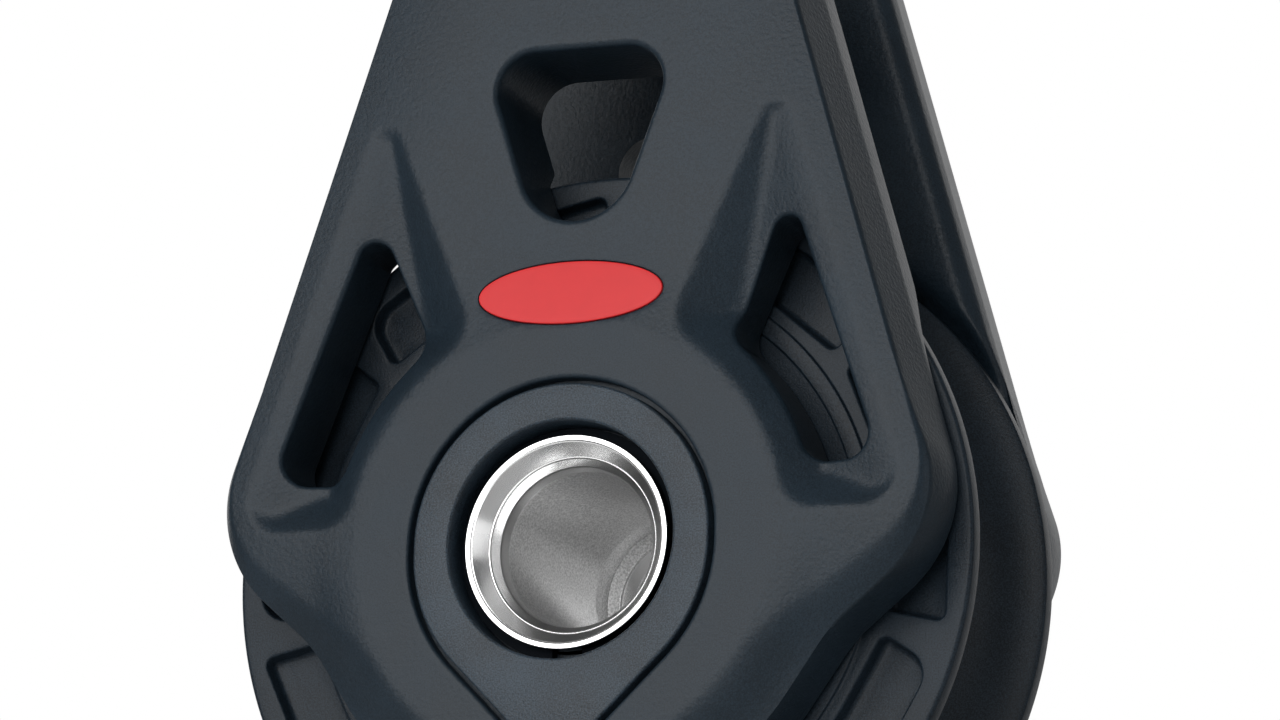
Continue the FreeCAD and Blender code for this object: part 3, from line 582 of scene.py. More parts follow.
class ShaderTree:
    """The nodes of a material or of the world, with its one shader."""

    def __init__(self, tree: bpy.types.NodeTree, shader: str) -> None:
        """Wrap a node tree, whose shader is of a given type."""
        self.nodes = tree.nodes
        self.links = tree.links
        self.shader = self.find(shader)

    def find(self, kind: str) -> bpy.types.Node:
        """Return the node of a type that the tree already has."""
        return next(node for node in self.nodes if node.type == kind)

    def node(self, kind: str, settings: dict[str, Any], inputs: dict[Any, Any], output: Any = 0) -> Signal:
        """Add a node and return one of its outputs.

        Args:
            kind: the node's type.
            settings: its properties, set first.
            inputs: values or signals by socket name or number.
            output: name or number of the output.

        Returns:
            The output as a signal.
        """
        made = self.nodes.new(kind)
        for key, setting in settings.items():
            setattr(made, key, setting)
        for key, value in inputs.items():
            self.feed(made.inputs[key], value)
        return Signal(self, made.outputs[output])

    def feed(self, socket: bpy.types.NodeSocket, value: Any) -> None:
        """Link a signal to a socket, or set a plain value on it."""
        if isinstance(value, Signal):
            self.links.new(value.socket, socket)
        elif isinstance(value, tuple) and len(value) == 3 and socket.type == "RGBA":
            socket.default_value = (*value, 1.0)
        else:
            socket.default_value = value

    def place(self) -> Signal:
        """Return the place on the object, in metres."""
        return self.node("ShaderNodeTexCoord", {}, {}, "Object")

    def axis(self, which: str) -> Signal:
        """Return one coordinate of the place, in millimetres."""
        return self.node("ShaderNodeSeparateXYZ", {}, {0: self.place()}, which) * (1 / MM)

    def noise(self, grain: float, detail: float = 2.0, stretch: Vector | None = None) -> Signal:
        """Return a noise whose grains have a size in millimetres.

        Args:
            grain: size of a grain.
            detail: octaves.
            stretch: factors on the three coordinates, where the grain isn't even.

        Returns:
            A signal about 0.5.
        """
        where = self.place()
        if stretch is not None:
            where = self.node("ShaderNodeVectorMath", {"operation": "MULTIPLY"}, {0: where, 1: stretch})
        inputs = {"Vector": where, "Scale": 1 / (grain * MM), "Detail": detail, "Roughness": 0.55}
        return self.node("ShaderNodeTexNoise", {}, inputs, 0)

    def blend(self, share: Signal, first: Any, second: Any) -> Signal:
        """Return a colour between two, by a share."""
        settings = {"data_type": "RGBA", "clamp_factor": True}
        return self.node("ShaderNodeMix", settings, {0: share, 6: first, 7: second}, 2)

    def bump(self, height: Signal, depth: float, strength: float = 1.0, base: Signal | None = None) -> Signal:
        """Return a normal for a height signal.

        Args:
            height: the signal, from 0 to 1.
            depth: what 1 is, in millimetres.
            strength: share of the effect.
            base: a normal to add it to.

        Returns:
            The normal.
        """
        inputs = {"Height": height, "Distance": depth * MM, "Strength": strength}
        if base is not None:
            inputs["Normal"] = base
        return self.node("ShaderNodeBump", {}, inputs, "Normal")

    def uneven(self, shine: float, first: Signal, second: Signal) -> Signal:
        """Return a roughness that two noises let vary about its middle."""
        return first * SHINE_SWING + second * SHINE_SWING + (shine - SHINE_SWING)

    def dress(self, **inputs: Any) -> None:
        """Set or link the shader's sockets, named with _ for a blank."""
        for key, value in inputs.items():
            self.feed(self.shader.inputs[key.replace("_", " ")], value)


# Finishes


@dataclass(frozen=True)
class Finish:
    """What a piece is dressed in. A finish makes its material once."""

    name: str

    def material(self) -> bpy.types.Material:
        """Return the finish's material, made the first time it is asked for."""
        label = f"{self.name}_finish"
        made = bpy.data.materials.get(label)
        if made is None:
            made = bpy.data.materials.new(label)
            made.use_nodes = True
            self.dress(ShaderTree(made.node_tree, "BSDF_PRINCIPLED"))
        return made

    def dress(self, tree: ShaderTree) -> None:
        """Dress the material's tree."""
        raise NotImplementedError


@dataclass(frozen=True)
class MouldedPlastic(Finish):
    """Filled nylon from a grained mould: a fine leather grain, faint cloudiness and a satin shine."""

    colour: Colour = (0.014, 0.0245, 0.0355)
    grain: float = 0.34
    grain_depth: float = 0.05
    fleck: float = 0.12
    fleck_depth: float = 0.006
    shine: float = 0.4
    specular: float = 0.3
    mottle: float = 0.3
    mottle_step: tuple[float, float] = (0.32, 0.68)
    cloud: float = 6.0
    cloud_share: float = 0.3

    def dress(self, tree: ShaderTree) -> None:
        """Mix two sizes of grain in the bump, and let the colour and the shine follow a broad cloud."""
        cloud = tree.noise(self.cloud, detail=3.0)
        grain = tree.noise(self.grain, detail=2.0)
        fleck = tree.noise(self.fleck, detail=1.0)
        coarse = tree.bump(grain, self.grain_depth, strength=0.8)
        normal = tree.bump(fleck, self.fleck_depth, strength=0.6, base=coarse)
        share = (cloud * self.cloud_share + fleck * (1 - self.cloud_share)).step(*self.mottle_step)
        colour = tree.blend(share, scaled(self.colour, 1 - self.mottle), scaled(self.colour, 1 + self.mottle))
        tree.dress(Base_Color=colour, Roughness=tree.uneven(self.shine, cloud, grain), Normal=normal,
                   Specular_IOR_Level=self.specular)


@dataclass(frozen=True)
class TurnedSteel(Finish):
    """Stainless steel turned on a lathe about the hub: polished at the mouths, satin in the bore.

    The polish comes in between the two levels of each pair along the axis. From the skin's radius on, up to the lip,
    the outside is painted near-black: painted shade for the dark gap between the tube and the cover's well.
    """

    colour: Colour = (0.88, 0.88, 0.88)
    dull: Colour = (0.76, 0.76, 0.76)
    # painted shade: near-black colour of the tube's outside, so that the gap round the cover's well reads dark
    painted_well_shade: Colour = (0.002, 0.002, 0.003)
    polish: float = 0.16
    satin: float = 0.34
    swing: float = 0.05
    polished: tuple[float, float] = (12.5, 13.3)
    rear_polished: tuple[float, float] = (8.6, 8.7)
    ring_grain: float = 0.16
    blast_grain: float = 0.14
    cloud: float = 2.4
    speck: float = 0.15
    speck_step: tuple[float, float] = (0.3, 0.7)
    speck_shades: tuple[float, float] = (0.72, 1.2)
    skin_radius: float = 7.86
    skin_fade: float = 0.2
    lip_fade: float = 0.02
    lip_level: float = field(default_factory=lambda: float(node_box("hub_tube")[1][1]) - 0.1)

    def dress(self, tree: ShaderTree) -> None:
        """Let the shine follow the place along the axis, and lay fine rings round it in the bump."""
        along = tree.axis("Y")
        mouth = along.size().step(*self.polished).through("MAXIMUM", along.step(*self.rear_polished))
        rings = tree.noise(self.ring_grain, detail=3.0, stretch=Vector((0.02, 1.0, 0.02)))
        blast = tree.noise(self.blast_grain, detail=2.0) * (1 - mouth)
        cloud = tree.noise(self.cloud, detail=2.0, stretch=Vector((1.0, 0.4, 1.0)))
        shine = (1 - mouth) * (self.satin - self.polish) + self.polish + cloud * self.swing
        turned_marks = tree.bump(rings, depth=0.003, strength=0.5)
        normal = tree.bump(blast, depth=0.012, strength=0.7, base=turned_marks)
        across, up = tree.axis("X"), tree.axis("Z")
        # Painted shade: the outside, from the skin's radius up to the lip, takes the near-black colour of the well's
        # gap
        outside = (across * across + up * up).step(self.skin_radius**2 - self.skin_fade, self.skin_radius**2)
        outside = outside * (1 - along.size().step(self.lip_level - self.lip_fade, self.lip_level))
        specks = tree.noise(self.speck, detail=1.0).step(*self.speck_step)
        dull = tree.blend(specks, *(scaled(self.dull, shade) for shade in self.speck_shades))
        colour = tree.blend(outside, tree.blend(mouth, dull, self.colour), self.painted_well_shade)
        tree.dress(Base_Color=colour, Metallic=1.0, Roughness=shine, Normal=normal)


@dataclass(frozen=True)
class PlainSteel(Finish):
    """Stainless steel of forged, machined or stamped pieces, tumbled to an even shine."""

    colour: Colour = (0.66, 0.66, 0.65)
    shine: float = 0.22
    grain: float = 0.5
    cloud: float = 5.0
    pale: float = 1.08

    def dress(self, tree: ShaderTree) -> None:
        """Let a fine grain and a broad cloud vary the shine and the surface."""
        grain = tree.noise(self.grain, detail=4.0)
        cloud = tree.noise(self.cloud, detail=2.0)
        colour = tree.blend(cloud, self.colour, scaled(self.colour, self.pale))
        tree.dress(Base_Color=colour, Metallic=1.0, Roughness=tree.uneven(self.shine, grain, cloud),
                   Normal=tree.bump(grain, depth=0.004, strength=0.4))


@dataclass(frozen=True)
class Enamel(Finish):
    """A smooth domed plate filled with colour, faintly mottled."""

    colour: Colour = (0.80, 0.032, 0.036)
    shine: float = 0.35
    swing: float = 0.1
    specular: float = 0.3
    cloud: float = 1.8
    grain: float = 0.25
    deep: float = 0.9

    def dress(self, tree: ShaderTree) -> None:
        """Vary the colour a little with a soft cloud, and the shine with a fine one."""
        cloud = tree.noise(self.cloud, detail=3.0)
        fine = tree.noise(self.grain, detail=1.0)
        colour = tree.blend(cloud, scaled(self.colour, self.deep), self.colour)
        tree.dress(Base_Color=colour, Roughness=fine * self.swing + self.shine,
                   Normal=tree.bump(fine, depth=0.002, strength=0.4), Specular_IOR_Level=self.specular)


@dataclass(frozen=True)
class StageWhite(Finish):
    """A plain white surface that looks white to the camera and to what mirrors it."""

    colour: Colour = (0.86, 0.86, 0.86)
    rays: tuple[str, ...] = ("Is Camera Ray",)
    lit: float = 1.0

    def dress(self, tree: ShaderTree) -> None:
        """Mix a plain white glow into the matt surface, by the share lit, for the rays that are named."""
        tree.dress(Base_Color=self.colour, Roughness=0.9, Specular_IOR_Level=0.1)
        seen, *others = (tree.node("ShaderNodeLightPath", {}, {}, name) for name in self.rays)
        for other in others:
            seen = seen.through("MAXIMUM", other)
        glow = tree.node("ShaderNodeEmission", {}, {"Color": (1.0, 1.0, 1.0), "Strength": 1.0})
        matt = Signal(tree, tree.shader.outputs[0])
        mixed = tree.node("ShaderNodeMixShader", {}, {0: seen * self.lit, 1: matt, 2: glow})
        tree.feed(tree.find("OUTPUT_MATERIAL").inputs["Surface"], mixed)


CHEEK_PLASTIC = MouldedPlastic("cheek_plastic")
COVER_PLASTIC = MouldedPlastic("cover_plastic", colour=(0.023, 0.037, 0.052), grain=0.18, grain_depth=0.06,
                               specular=0.4, mottle=0.7)
SHEAVE_PLASTIC = MouldedPlastic("sheave_plastic", colour=(0.013, 0.021, 0.030), grain=0.17, grain_depth=0.03,
                                specular=0.24, mottle=0.5)
BLACK_PLASTIC = MouldedPlastic("black_plastic", colour=(0.006, 0.007, 0.009), grain=0.3, grain_depth=0.01)
CLIP_BLACK = MouldedPlastic("clip_black", colour=(0.004, 0.006, 0.009), grain=0.3, grain_depth=0.01, shine=0.65,
                            specular=0.06)
BEARING_PLASTIC = MouldedPlastic("bearing_plastic", colour=(0.55, 0.53, 0.48), grain=0.4, grain_depth=0.004,
                                 shine=0.34)
HUB_STEEL = TurnedSteel("hub_steel")
RACE_STEEL = PlainSteel("race_steel", shine=0.18)
HEAD_STEEL = PlainSteel("head_steel", colour=(0.58, 0.58, 0.58), shine=0.32)
FASTENER_STEEL = PlainSteel("fastener_steel", shine=0.24, grain=0.35)
SHACKLE_STEEL = PlainSteel("shackle_steel", colour=(0.70, 0.70, 0.69), shine=0.17, grain=0.7)
BADGE_RED = Enamel("badge_red")

NODE_FINISHES = {
    RACE_STEEL: ("bearing_inner_race", "bearing_outer_race", "hub_rollers"),
    CLIP_BLACK: ("front_retaining_clip", "rear_retaining_clip"),
    BEARING_PLASTIC: ("front_end_ring", "rear_end_ring", "front_side_balls", "rear_side_balls"),
    BLACK_PLASTIC: ("front_ball_cage", "rear_ball_cage", "lower_swivel_washer", "upper_swivel_washer"),
    HEAD_STEEL: ("head_block",),
    FASTENER_STEEL: ("head_bolts", "head_nuts", "swivel_post"),
    SHACKLE_STEEL: ("shackle_bow", "shackle_pin"),
}


# Cheeks


@dataclass(frozen=True)
class FastenerSeat:
    """A sunk seat for a bolt's head or a nut: its level, its reach to a side, its corner radius and its sides."""

    level: float
    reach: float
    corner: float
    sides: int


@dataclass
class Cheek:
    """A moulded cheek: a domed plate with a boss, two tapering scoops with slots, a window and a sheave pocket.

    The gap is the space between both cheeks, and every level is a distance from the block's middle plane. A flank
    and the edge are (angle of the normal in degrees, distance from the hub's axis). Rounds that end at the face are
    rows of (distance out of the outline, drop from the face).
    """

    side: Side
    gap: float = 16.0
    wall_top: float = 15.0
    face: float = 17.0
    boss_face: float = 17.4
    boss_radius: float = 16.9
    lobe_radius: float = 21.7
    lobe_angle: float = -34.0
    flank: tuple[float, float] = (-49.3, 19.4)
    edge: tuple[float, float] = (17.17, 29.3)
    head_height: float = 66.0
    head_round: float = 8.0
    shoulder_round: float = 10.0
    waist_round: float = 12.0
    bevel: float = 0.9
    edge_power: float = 1.7
    wall_foot: float = 10.8
    foot_step: float = 0.2
    wall_drop: float = 0.12
    wall_clearance: tuple[float, float] = (0.04, 0.25)
    wall_lean: tuple[float, float] = (0.31, 0.88)
    wall_shares: tuple[float, ...] = (0.0, 0.06, 0.25, 0.45, 0.65, 0.82, 0.93, 1.0)
    lean_from: tuple[float, float] = (3.0, 15.0)
    lean_rise: float = 1.7
    face_insets: tuple[float, ...] = (0.36, 0.42, 0.52, 0.65, 0.8, 0.95, 1.12, 1.35)
    inset_shift: float = 0.59
    inner_round: float = 0.3
    crown_radius: float = 17.0
    crown_flank: tuple[float, float] = (-54.5, 15.3)
    crown_round: float = 7.0
    pocket_radius: float = 30.65
    pocket_step: float = 2.4
    pocket_rings: int = 5
    pocket_floor: float = 10.2
    seat_level: float = 13.2
    scoop_radius: float = 17.6
    scoop_inner_slope: float = 0.72
    scoop_outer_slope: float = 0.34
    scoop_depth: float = 3.0
    scoop_ease: float = 0.3
    scoop_blend: float = 0.35
    slot_radius: float = 19.7
    slot_round: float = 0.35
    window_round: float = 0.5
    hole_radius: float = 8.25
    groove_width: float = 0.4
    groove_depth: float = 1.2
    groove_round: tuple[tuple[float, float], ...] = ((0.0, 0.3), (0.06, 0.1), (0.18, 0.02), (0.36, 0.0))
    seat_gap: float = 0.05
    bolt_offset: float = 6.5
    bolt_level: float = 51.5
    bolt_hole_radius: float = 2.1
    bolt_seat: FastenerSeat = FastenerSeat(14.4, 3.6, 3.6, 4)
    nut_seat: FastenerSeat = FastenerSeat(13.4, 3.65, 0.5, 6)
    seat_round: tuple[tuple[float, float], ...] = ((0.0, 0.3), (0.08, 0.09), (0.3, 0.0))
    dome_tilt: float = 0.19
    dome_reach: float = 10.0
    dome_start: float = 4.0
    apron_reach: float = 7.0
    grid: float = 0.42
    inner_grid: float = 1.3

    def half(self, lobe: float, waist: float, flank: tuple[float, float], shoulder: float, inset: float,
             corner: float) -> Outline:
        """Return a symmetric outline of a lobe, flanks, straight sides and a head.

        Args:
            lobe: radius of the lobe about the hub.
            waist: radius of the hollow between lobe and flank.
            flank: angle and distance of the flank.
            shoulder: radius between flank and straight side.
            inset: how far the straight sides and the head lie inside the cheek's own.
            corner: radius at the head.

        Returns:
            The outline.
        """
        side, reach = self.edge
        return Outline((
            (self.lobe_angle, lobe, waist),
            (flank[0], flank[1], shoulder),
            (side, reach - inset, corner),
            (90.0, self.head_height - inset, corner),
            (180.0 - side, reach - inset, shoulder),
            (180.0 - flank[0], flank[1], waist),
            (180.0 - self.lobe_angle, lobe, lobe),
        ))

    @cached_property
    def outline(self) -> Outline:
        """The outer edge."""
        return self.half(self.lobe_radius, self.waist_round, self.flank, self.shoulder_round, 0.0, self.head_round)

    @cached_property
    def crown(self) -> Outline:
        """The line inside which the face is full height."""
        return self.half(self.crown_radius, self.crown_round, self.crown_flank, self.crown_round, self.bevel,
                         self.head_round - self.bevel)

    @cached_property
    def scoop(self) -> Outline:
        """The right-hand scoop at the face, pointed at its top."""
        inner = self.scoop_radius
        return Outline(((-23.6, 0.6, 3.0), (50.0, inner, inner), (14.0, inner, 3.0), (90.0, 1.5, 3.0),
                        (18.3, 26.75, 1.5)))

    @cached_property
    def slot(self) -> Outline:
        """The right-hand slot."""
        inner = self.slot_radius
        return Outline(((-22.2, 5.65, 2.0), (50.0, inner, inner), (20.0, inner, 2.0), (90.0, 5.4, 2.0),
                        (20.1, 25.05, 1.3)))

    @cached_property
    def window(self) -> Outline:
        """The window: a triangle on its point, with rounded corners."""
        lean, offset = -18.9, -4.84
        return Outline(((lean, offset, 3.0), (90.0, 38.3, 3.0), (180.0 - lean, offset, 4.7)))

    def cover_edge(self, spread: float) -> Outline:
        """Return a hub cover's edge, spread outwards: a circle drawn out to a rounded point below."""
        radius, foot, tip = 11.95 + spread, 12.35 + spread, 4.5 + spread
        return Outline(((-45.0, foot, radius), (0.0, radius, radius), (90.0, radius, radius),
                        (180.0, radius, radius), (225.0, foot, tip)))

    def front_level(self, x: np.ndarray, z: np.ndarray) -> np.ndarray:
        """Return how far the front face stands out from the block's middle plane.

        The boss is flat. Outside it the face falls along a curve by the boss's height, and towards the outer edge
        by a parabola. Between the crown line and the edge it drops to the top of the wall as a power of the share
        of the way. A scoop goes down by its depth.

        Args:
            x: X of each point.
            z: Z of each point.

        Returns:
            The level at each point.
        """
        radius = np.hypot(x, z)
        inside = np.maximum(-self.outline.distance(x, z), 0.0)
        beyond = np.maximum(self.crown.distance(x, z), 0.0)
        off_boss = np.maximum(radius - self.boss_radius, 0.0)
        apron = 1.0 - np.maximum(1.0 - off_boss / self.apron_reach, 0.0) ** 2
        dome = self.dome_tilt * np.maximum(self.dome_reach - inside, 0.0) ** 2 / (2 * self.dome_reach)
        level = self.boss_face - (self.boss_face - self.face) * apron - dome * smooth(off_boss / self.dome_start)
        rise = inside / np.maximum(inside + beyond, 1e-6)
        level = self.wall_top + (level - self.wall_top) * (1.0 - (1.0 - rise) ** self.edge_power)
        for turn in (1.0, -1.0):
            level = level - self.scooped(turn * x, z)
        return level

    def scooped(self, x: np.ndarray, z: np.ndarray) -> np.ndarray:
        """Return the depth of the right-hand scoop.

        It is a valley between a steep slope from the scoop's edge and a gentle one from its outer line. The smaller
        depth of the two counts, rounded where they meet, and it is held to the full depth.
        """
        way = np.maximum(-self.scoop.distance(x, z), 0.0)
        lean, reach, _ = self.scoop.lines[-1]
        outer = np.maximum(reach - x * math.cos(math.radians(lean)) - z * math.sin(math.radians(lean)), 0.0)
        steep, gentle = (slope * far**2 / (far + self.scoop_ease) for slope, far in
                         ((self.scoop_inner_slope, way), (self.scoop_outer_slope, outer)))
        depth = steep
        for other in (gentle, np.full_like(depth, self.scoop_depth)):
            blend = self.scoop_blend * np.minimum(depth, 1.0)
            depth = (depth + other - np.sqrt((depth - other) ** 2 + blend**2)) / 2
        return np.where(way > 0.0, np.maximum(depth, 0.0), 0.0)

    def inner_level(self, x: np.ndarray, z: np.ndarray) -> np.ndarray:
        """Return the level of the inner face: the pocket's floor round the hub, and the plain face beyond it."""
        step = smooth((np.hypot(x, z) - self.pocket_radius) / self.pocket_step + 0.5)
        return self.pocket_floor + (self.gap / 2 - self.pocket_floor) * step

    def below(self, drop: float) -> Level:
        """Return the level function of the front face less a drop."""
        return lambda x, z: self.front_level(x, z) - drop

    def above(self, rise: float) -> Level:
        """Return the level function of the inner face plus a rise."""
        return lambda x, z: self.inner_level(x, z) + rise

    def rims(self) -> list[Rim]:
        """Return the edges: the outer one, the window's, the slots', the hub's, the fasteners' and the badge's."""
        made = [self.outer_rim(), Rim(self.window, self.hole_steps(self.window_round))]
        made += [Rim(slot, self.hole_steps(self.slot_round)) for slot in (self.slot, self.slot.mirrored())]
        made.append(self.hub_rim())
        made += [self.fastener_rim((turn * self.bolt_offset, self.bolt_level)) for turn in (1.0, -1.0)]
        if self.side is Side.FRONT:
            made.append(Badge().seat(self))
        return made

    def outer_rim(self) -> Rim:
        """Return the outer edge: an inner round, an upright foot, a leaning wall and the face's border."""
        steps = [(-inset, self.above(rise)) for rise, inset in quarter(self.inner_round, steps=7)]
        steps.append((0.0, self.wall_foot - self.foot_step))
        steps += [self.leaning(share) for share in self.wall_shares]
        steps += [self.eased(inset) for inset in self.face_insets]
        return Rim(self.outline, steps, outer=True)

    def hub_rim(self) -> "HubRim":
        """Return the hub's hole, the cover's egg-shaped seat and the groove round the cover."""
        groove = self.boss_face - self.groove_depth
        steps = [(self.seat_gap, self.seat_level), (self.seat_gap, groove), (self.groove_width, groove)]
        steps += [(self.groove_width + out, self.boss_face - drop) for out, drop in self.groove_round]
        return HubRim(self.cover_edge(0.0), steps, hole=circle(self.hole_radius),
                      hole_levels=(self.pocket_floor, self.seat_level))

    def upper(self, z: np.ndarray) -> np.ndarray:
        """Return the share of the upper wall's lean: none at the lobe, all of it beside the window."""
        low, high = self.lean_from
        return smooth((z - low) / (high - low))

    def leaning(self, share: float) -> tuple[Level, Level]:
        """Return a step of the outer wall, at a share of the way up from where it begins to lean inwards."""
        slight, full = self.wall_lean
        height = self.wall_top - self.wall_foot - self.wall_drop
        least, more = self.wall_clearance

        def inset(x: np.ndarray, z: np.ndarray) -> np.ndarray:
            """Return the way inwards: a curve at the lobe, and an even slope beside the window."""
            return -(slight * share**2 * (1 - self.upper(z)) + full * share * self.upper(z))

        def level(x: np.ndarray, z: np.ndarray) -> np.ndarray:
            """Return the level, held a little below the face."""
            rise = self.wall_foot + (height + self.lean_rise * self.upper(z)) * share
            return np.minimum(rise, self.front_level(x, z) - least - more * (1 - share))

        return inset, level

    def eased(self, inset: float) -> tuple[Level, Level]:
        """Return a step on the face at an inset from its edge, moved inwards where the wall leans."""
        last = self.face_insets[-1]
        return lambda x, z: -(inset + self.inset_shift * (last - inset) * self.upper(z)), self.front_level

    def hole_steps(self, size: float) -> list[tuple[float, float | Level]]:
        """Return the steps of an edge with a round of a given size between its wall and the front face."""
        edge = [(out, self.below(drop)) for out, drop in quarter(size, steps=6)]
        return [(0.0, self.inner_level), (0.0, self.below(size * 2)), *edge]

    def fastener_rim(self, centre: tuple[float, float]) -> "HubRim":
        """Return the edge of a bolt's round seat in front, or of a nut's six-sided one behind."""
        seat = self.bolt_seat if self.side is Side.FRONT else self.nut_seat
        steps = [(0.0, seat.level), *((out, self.below(drop)) for out, drop in self.seat_round)]
        return HubRim(Outline.around(centre, seat.reach, seat.corner, seat.sides), steps, centre=centre,
                      hole=circle(self.bolt_hole_radius, centre), hole_levels=(self.gap / 2, seat.level))

    def build(self) -> Surface:
        """Build the cheek as one closed surface: two faces, and the rims between them."""
        surface = Surface()
        rims = self.rims()
        edges = [rim.build(surface, self.side) for rim in rims]
        creases = [outline.loop(self.grid)[0] for outline in (self.scoop, self.scoop.mirrored())]
        creases.append(circle(self.boss_radius).loop(self.grid)[0])
        fill(surface, self.side, [last for _, last in edges], self.front_level, self.grid, creases)
        shifts = self.pocket_step / 2 * np.linspace(-1.0, 1.0, self.pocket_rings)
        step = [circle(self.pocket_radius + shift).loop(self.inner_grid / 2)[0] for shift in shifts]
        through = [first for rim, (first, _) in zip(rims, edges) if not rim.blind]
        fill(surface, self.side, through, self.inner_level, self.inner_grid, step, flip=True)
        return surface

    def dress(self, surface: Surface) -> bpy.types.Object:
        """Make the piece, in place of the frame's cheek."""
        name = self.side.name.lower()
        made = surface.piece(f"{name}_cheek_shell", CHEEK_PLASTIC, "block")
        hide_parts(f"{name}_cheek")
        return made


@dataclass
class HubRim(Rim):
    """A rim whose first rings are a round hole, inside the outline of its seat."""

    hole: Outline = circle(1.0)
    hole_levels: tuple[float, float] = (0.0, 0.0)
    centre: tuple[float, float] = (0.0, 0.0)

    def rings(self) -> tuple[np.ndarray, np.ndarray]:
        """Return the rings: the hole's at its two levels, at the outline's own angles, and then the seat's.

        Returns:
            Points in the plane and levels, as a plain rim's.
        """
        places, levels = super().rings()
        spoke = places[0] - self.centre
        spoke /= np.linalg.norm(spoke, axis=1)[:, None]
        edge = np.array(self.centre) + spoke * self.hole.radius[0]
        low, high = (np.full(len(edge), level) for level in self.hole_levels)
        return np.concatenate([[edge, edge], places]), np.concatenate([[low, high], levels])


@dataclass
class Badge:
    """The oval badge plate: a bare enamelled field, let into the front cheek and faintly domed."""

    width: float = 15.0
    height: float = 4.9
    centre: float = 19.0
    floor: float = 16.55
    gap: float = 0.06
    gap_round: tuple[tuple[float, float], ...] = ((0.0, 0.12), (0.03, 0.03), (0.12, 0.0))
    edge: float = 0.1
    spacing: float = 0.2
    proud: float = 0.05
    dome: float = 0.08
    rows: int = 12

    @property
    def oval(self) -> Oval:
        """The plate's edge."""
        return Oval(self.width, self.height, self.centre)

    def seat(self, cheek: Cheek) -> Rim:
        """Return the edge of the recess that the plate lies in."""
        steps = [(self.gap, self.floor), *((self.gap + out, cheek.below(drop)) for out, drop in self.gap_round)]
        return Rim(self.oval, steps, blind=True)

    def build(self, cheek: Cheek) -> bpy.types.Object:
        """Build the plate so that it follows the cheek's face.

        The top stands proud of the face by a constant plus a dome, which is 1 less the square of the share of the
        way out. Its edge is a quarter round.

        Args:
            cheek: the front cheek.

        Returns:
            The piece.
        """
        surface = Surface()
        points, normals = self.oval.loop(self.spacing)
        inward, drop = np.array([(0.0, self.edge * 3), *quarter(self.edge, steps=5)]).T
        share = np.linspace(1.0, 0.0, self.rows)[1:-1]
        middle = np.array([0.0, self.centre])
        rim = points - normals * self.edge
        places = np.concatenate([points - normals * inward[:, None, None],
                                 middle + (rim - middle) * share[:, None, None]])
        share = np.concatenate([np.ones(len(inward)), share])[:, None]
        drop = np.concatenate([drop, np.zeros(self.rows - 2)])[:, None]
        level = cheek.front_level(places[..., 0], places[..., 1]) + self.proud + self.dome * (1 - share**2) - drop
        level[0] = self.floor
        numbers = surface.add(cheek.side.placed(places, level))
        surface.skin(numbers)
        face = cheek.front_level(middle[:1], middle[1:]) + self.proud + self.dome
        tip = surface.add(cheek.side.placed(middle[None], face))
        surface.fan(numbers[-1], int(tip[0]))
        foot = surface.add(cheek.side.placed(middle[None], np.array([self.floor])))
        surface.fan(numbers[0], int(foot[0]), flip=True)
        made = surface.piece("badge_field", BADGE_RED, "block")
        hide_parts("badge_plate")
        return made


@dataclass
class HubTube:
    """The steel tube through the hub: flat lips, a stepped flare in each mouth, and a shoulder in its rear half.

    The clip's groove is (start, end, radius of its floor). The flare is rows of (radius, depth below the lip, round)
    and the shoulder rows of (radius, level, round).
    """

    radius: float = field(default_factory=lambda: float(node_box("hub_tube")[1][0]))
    half_length: float = field(default_factory=lambda: float(node_box("hub_tube")[1][1]))
    groove: tuple[float, float, float] = (13.95, 15.05, 7.9)
    flare: tuple[tuple[float, float, float], ...] = (
        (7.8, 0.0, 0.05), (7.74, 0.12, 0.04), (7.66, 0.14, 0.04), (6.82, 1.36, 0.15), (6.72, 1.37, 0.06),
        (6.66, 1.5, 0.1), (6.16, 2.2, 0.6), (6.0, 3.2, 0.8))
    shoulder: tuple[tuple[float, float, float], ...] = (
        (6.0, 4.6, 0.1), (6.5, 4.9, 0.1), (6.5, 8.2, 0.05), (5.4, 8.2, 0.06), (5.4, 8.7, 0.1),
        (6.2, 9.2, 0.1), (6.2, 12.6, 0.1))
    steps: int = 200

    def profile(self) -> Points:
        """Return the tube's section as (radius, y): its outside, a flat lip, the stepped flare and the bore."""
        low, high, floor = self.groove
        half = [(self.radius, low, 0.0), (floor, low, 0.0), (floor, high, 0.0), (self.radius, high, 0.0),
                (self.radius, self.half_length, 0.06)]
        half += [(radius, self.half_length - depth, size) for radius, depth, size in self.flare]
        rear = half + list(reversed(self.shoulder))
        return rounded([(radius, -level, size) for radius, level, size in half] + rear[::-1])

    def build(self) -> bpy.types.Object:
        """Turn the section, and its mirror image, about the hub's axis."""
        surface = Surface()
        turned(surface, self.profile(), self.steps)
        made = surface.piece("hub_tube_turned", HUB_STEEL, "block", crease=60.0)
        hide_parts("hub_tube")
        return made


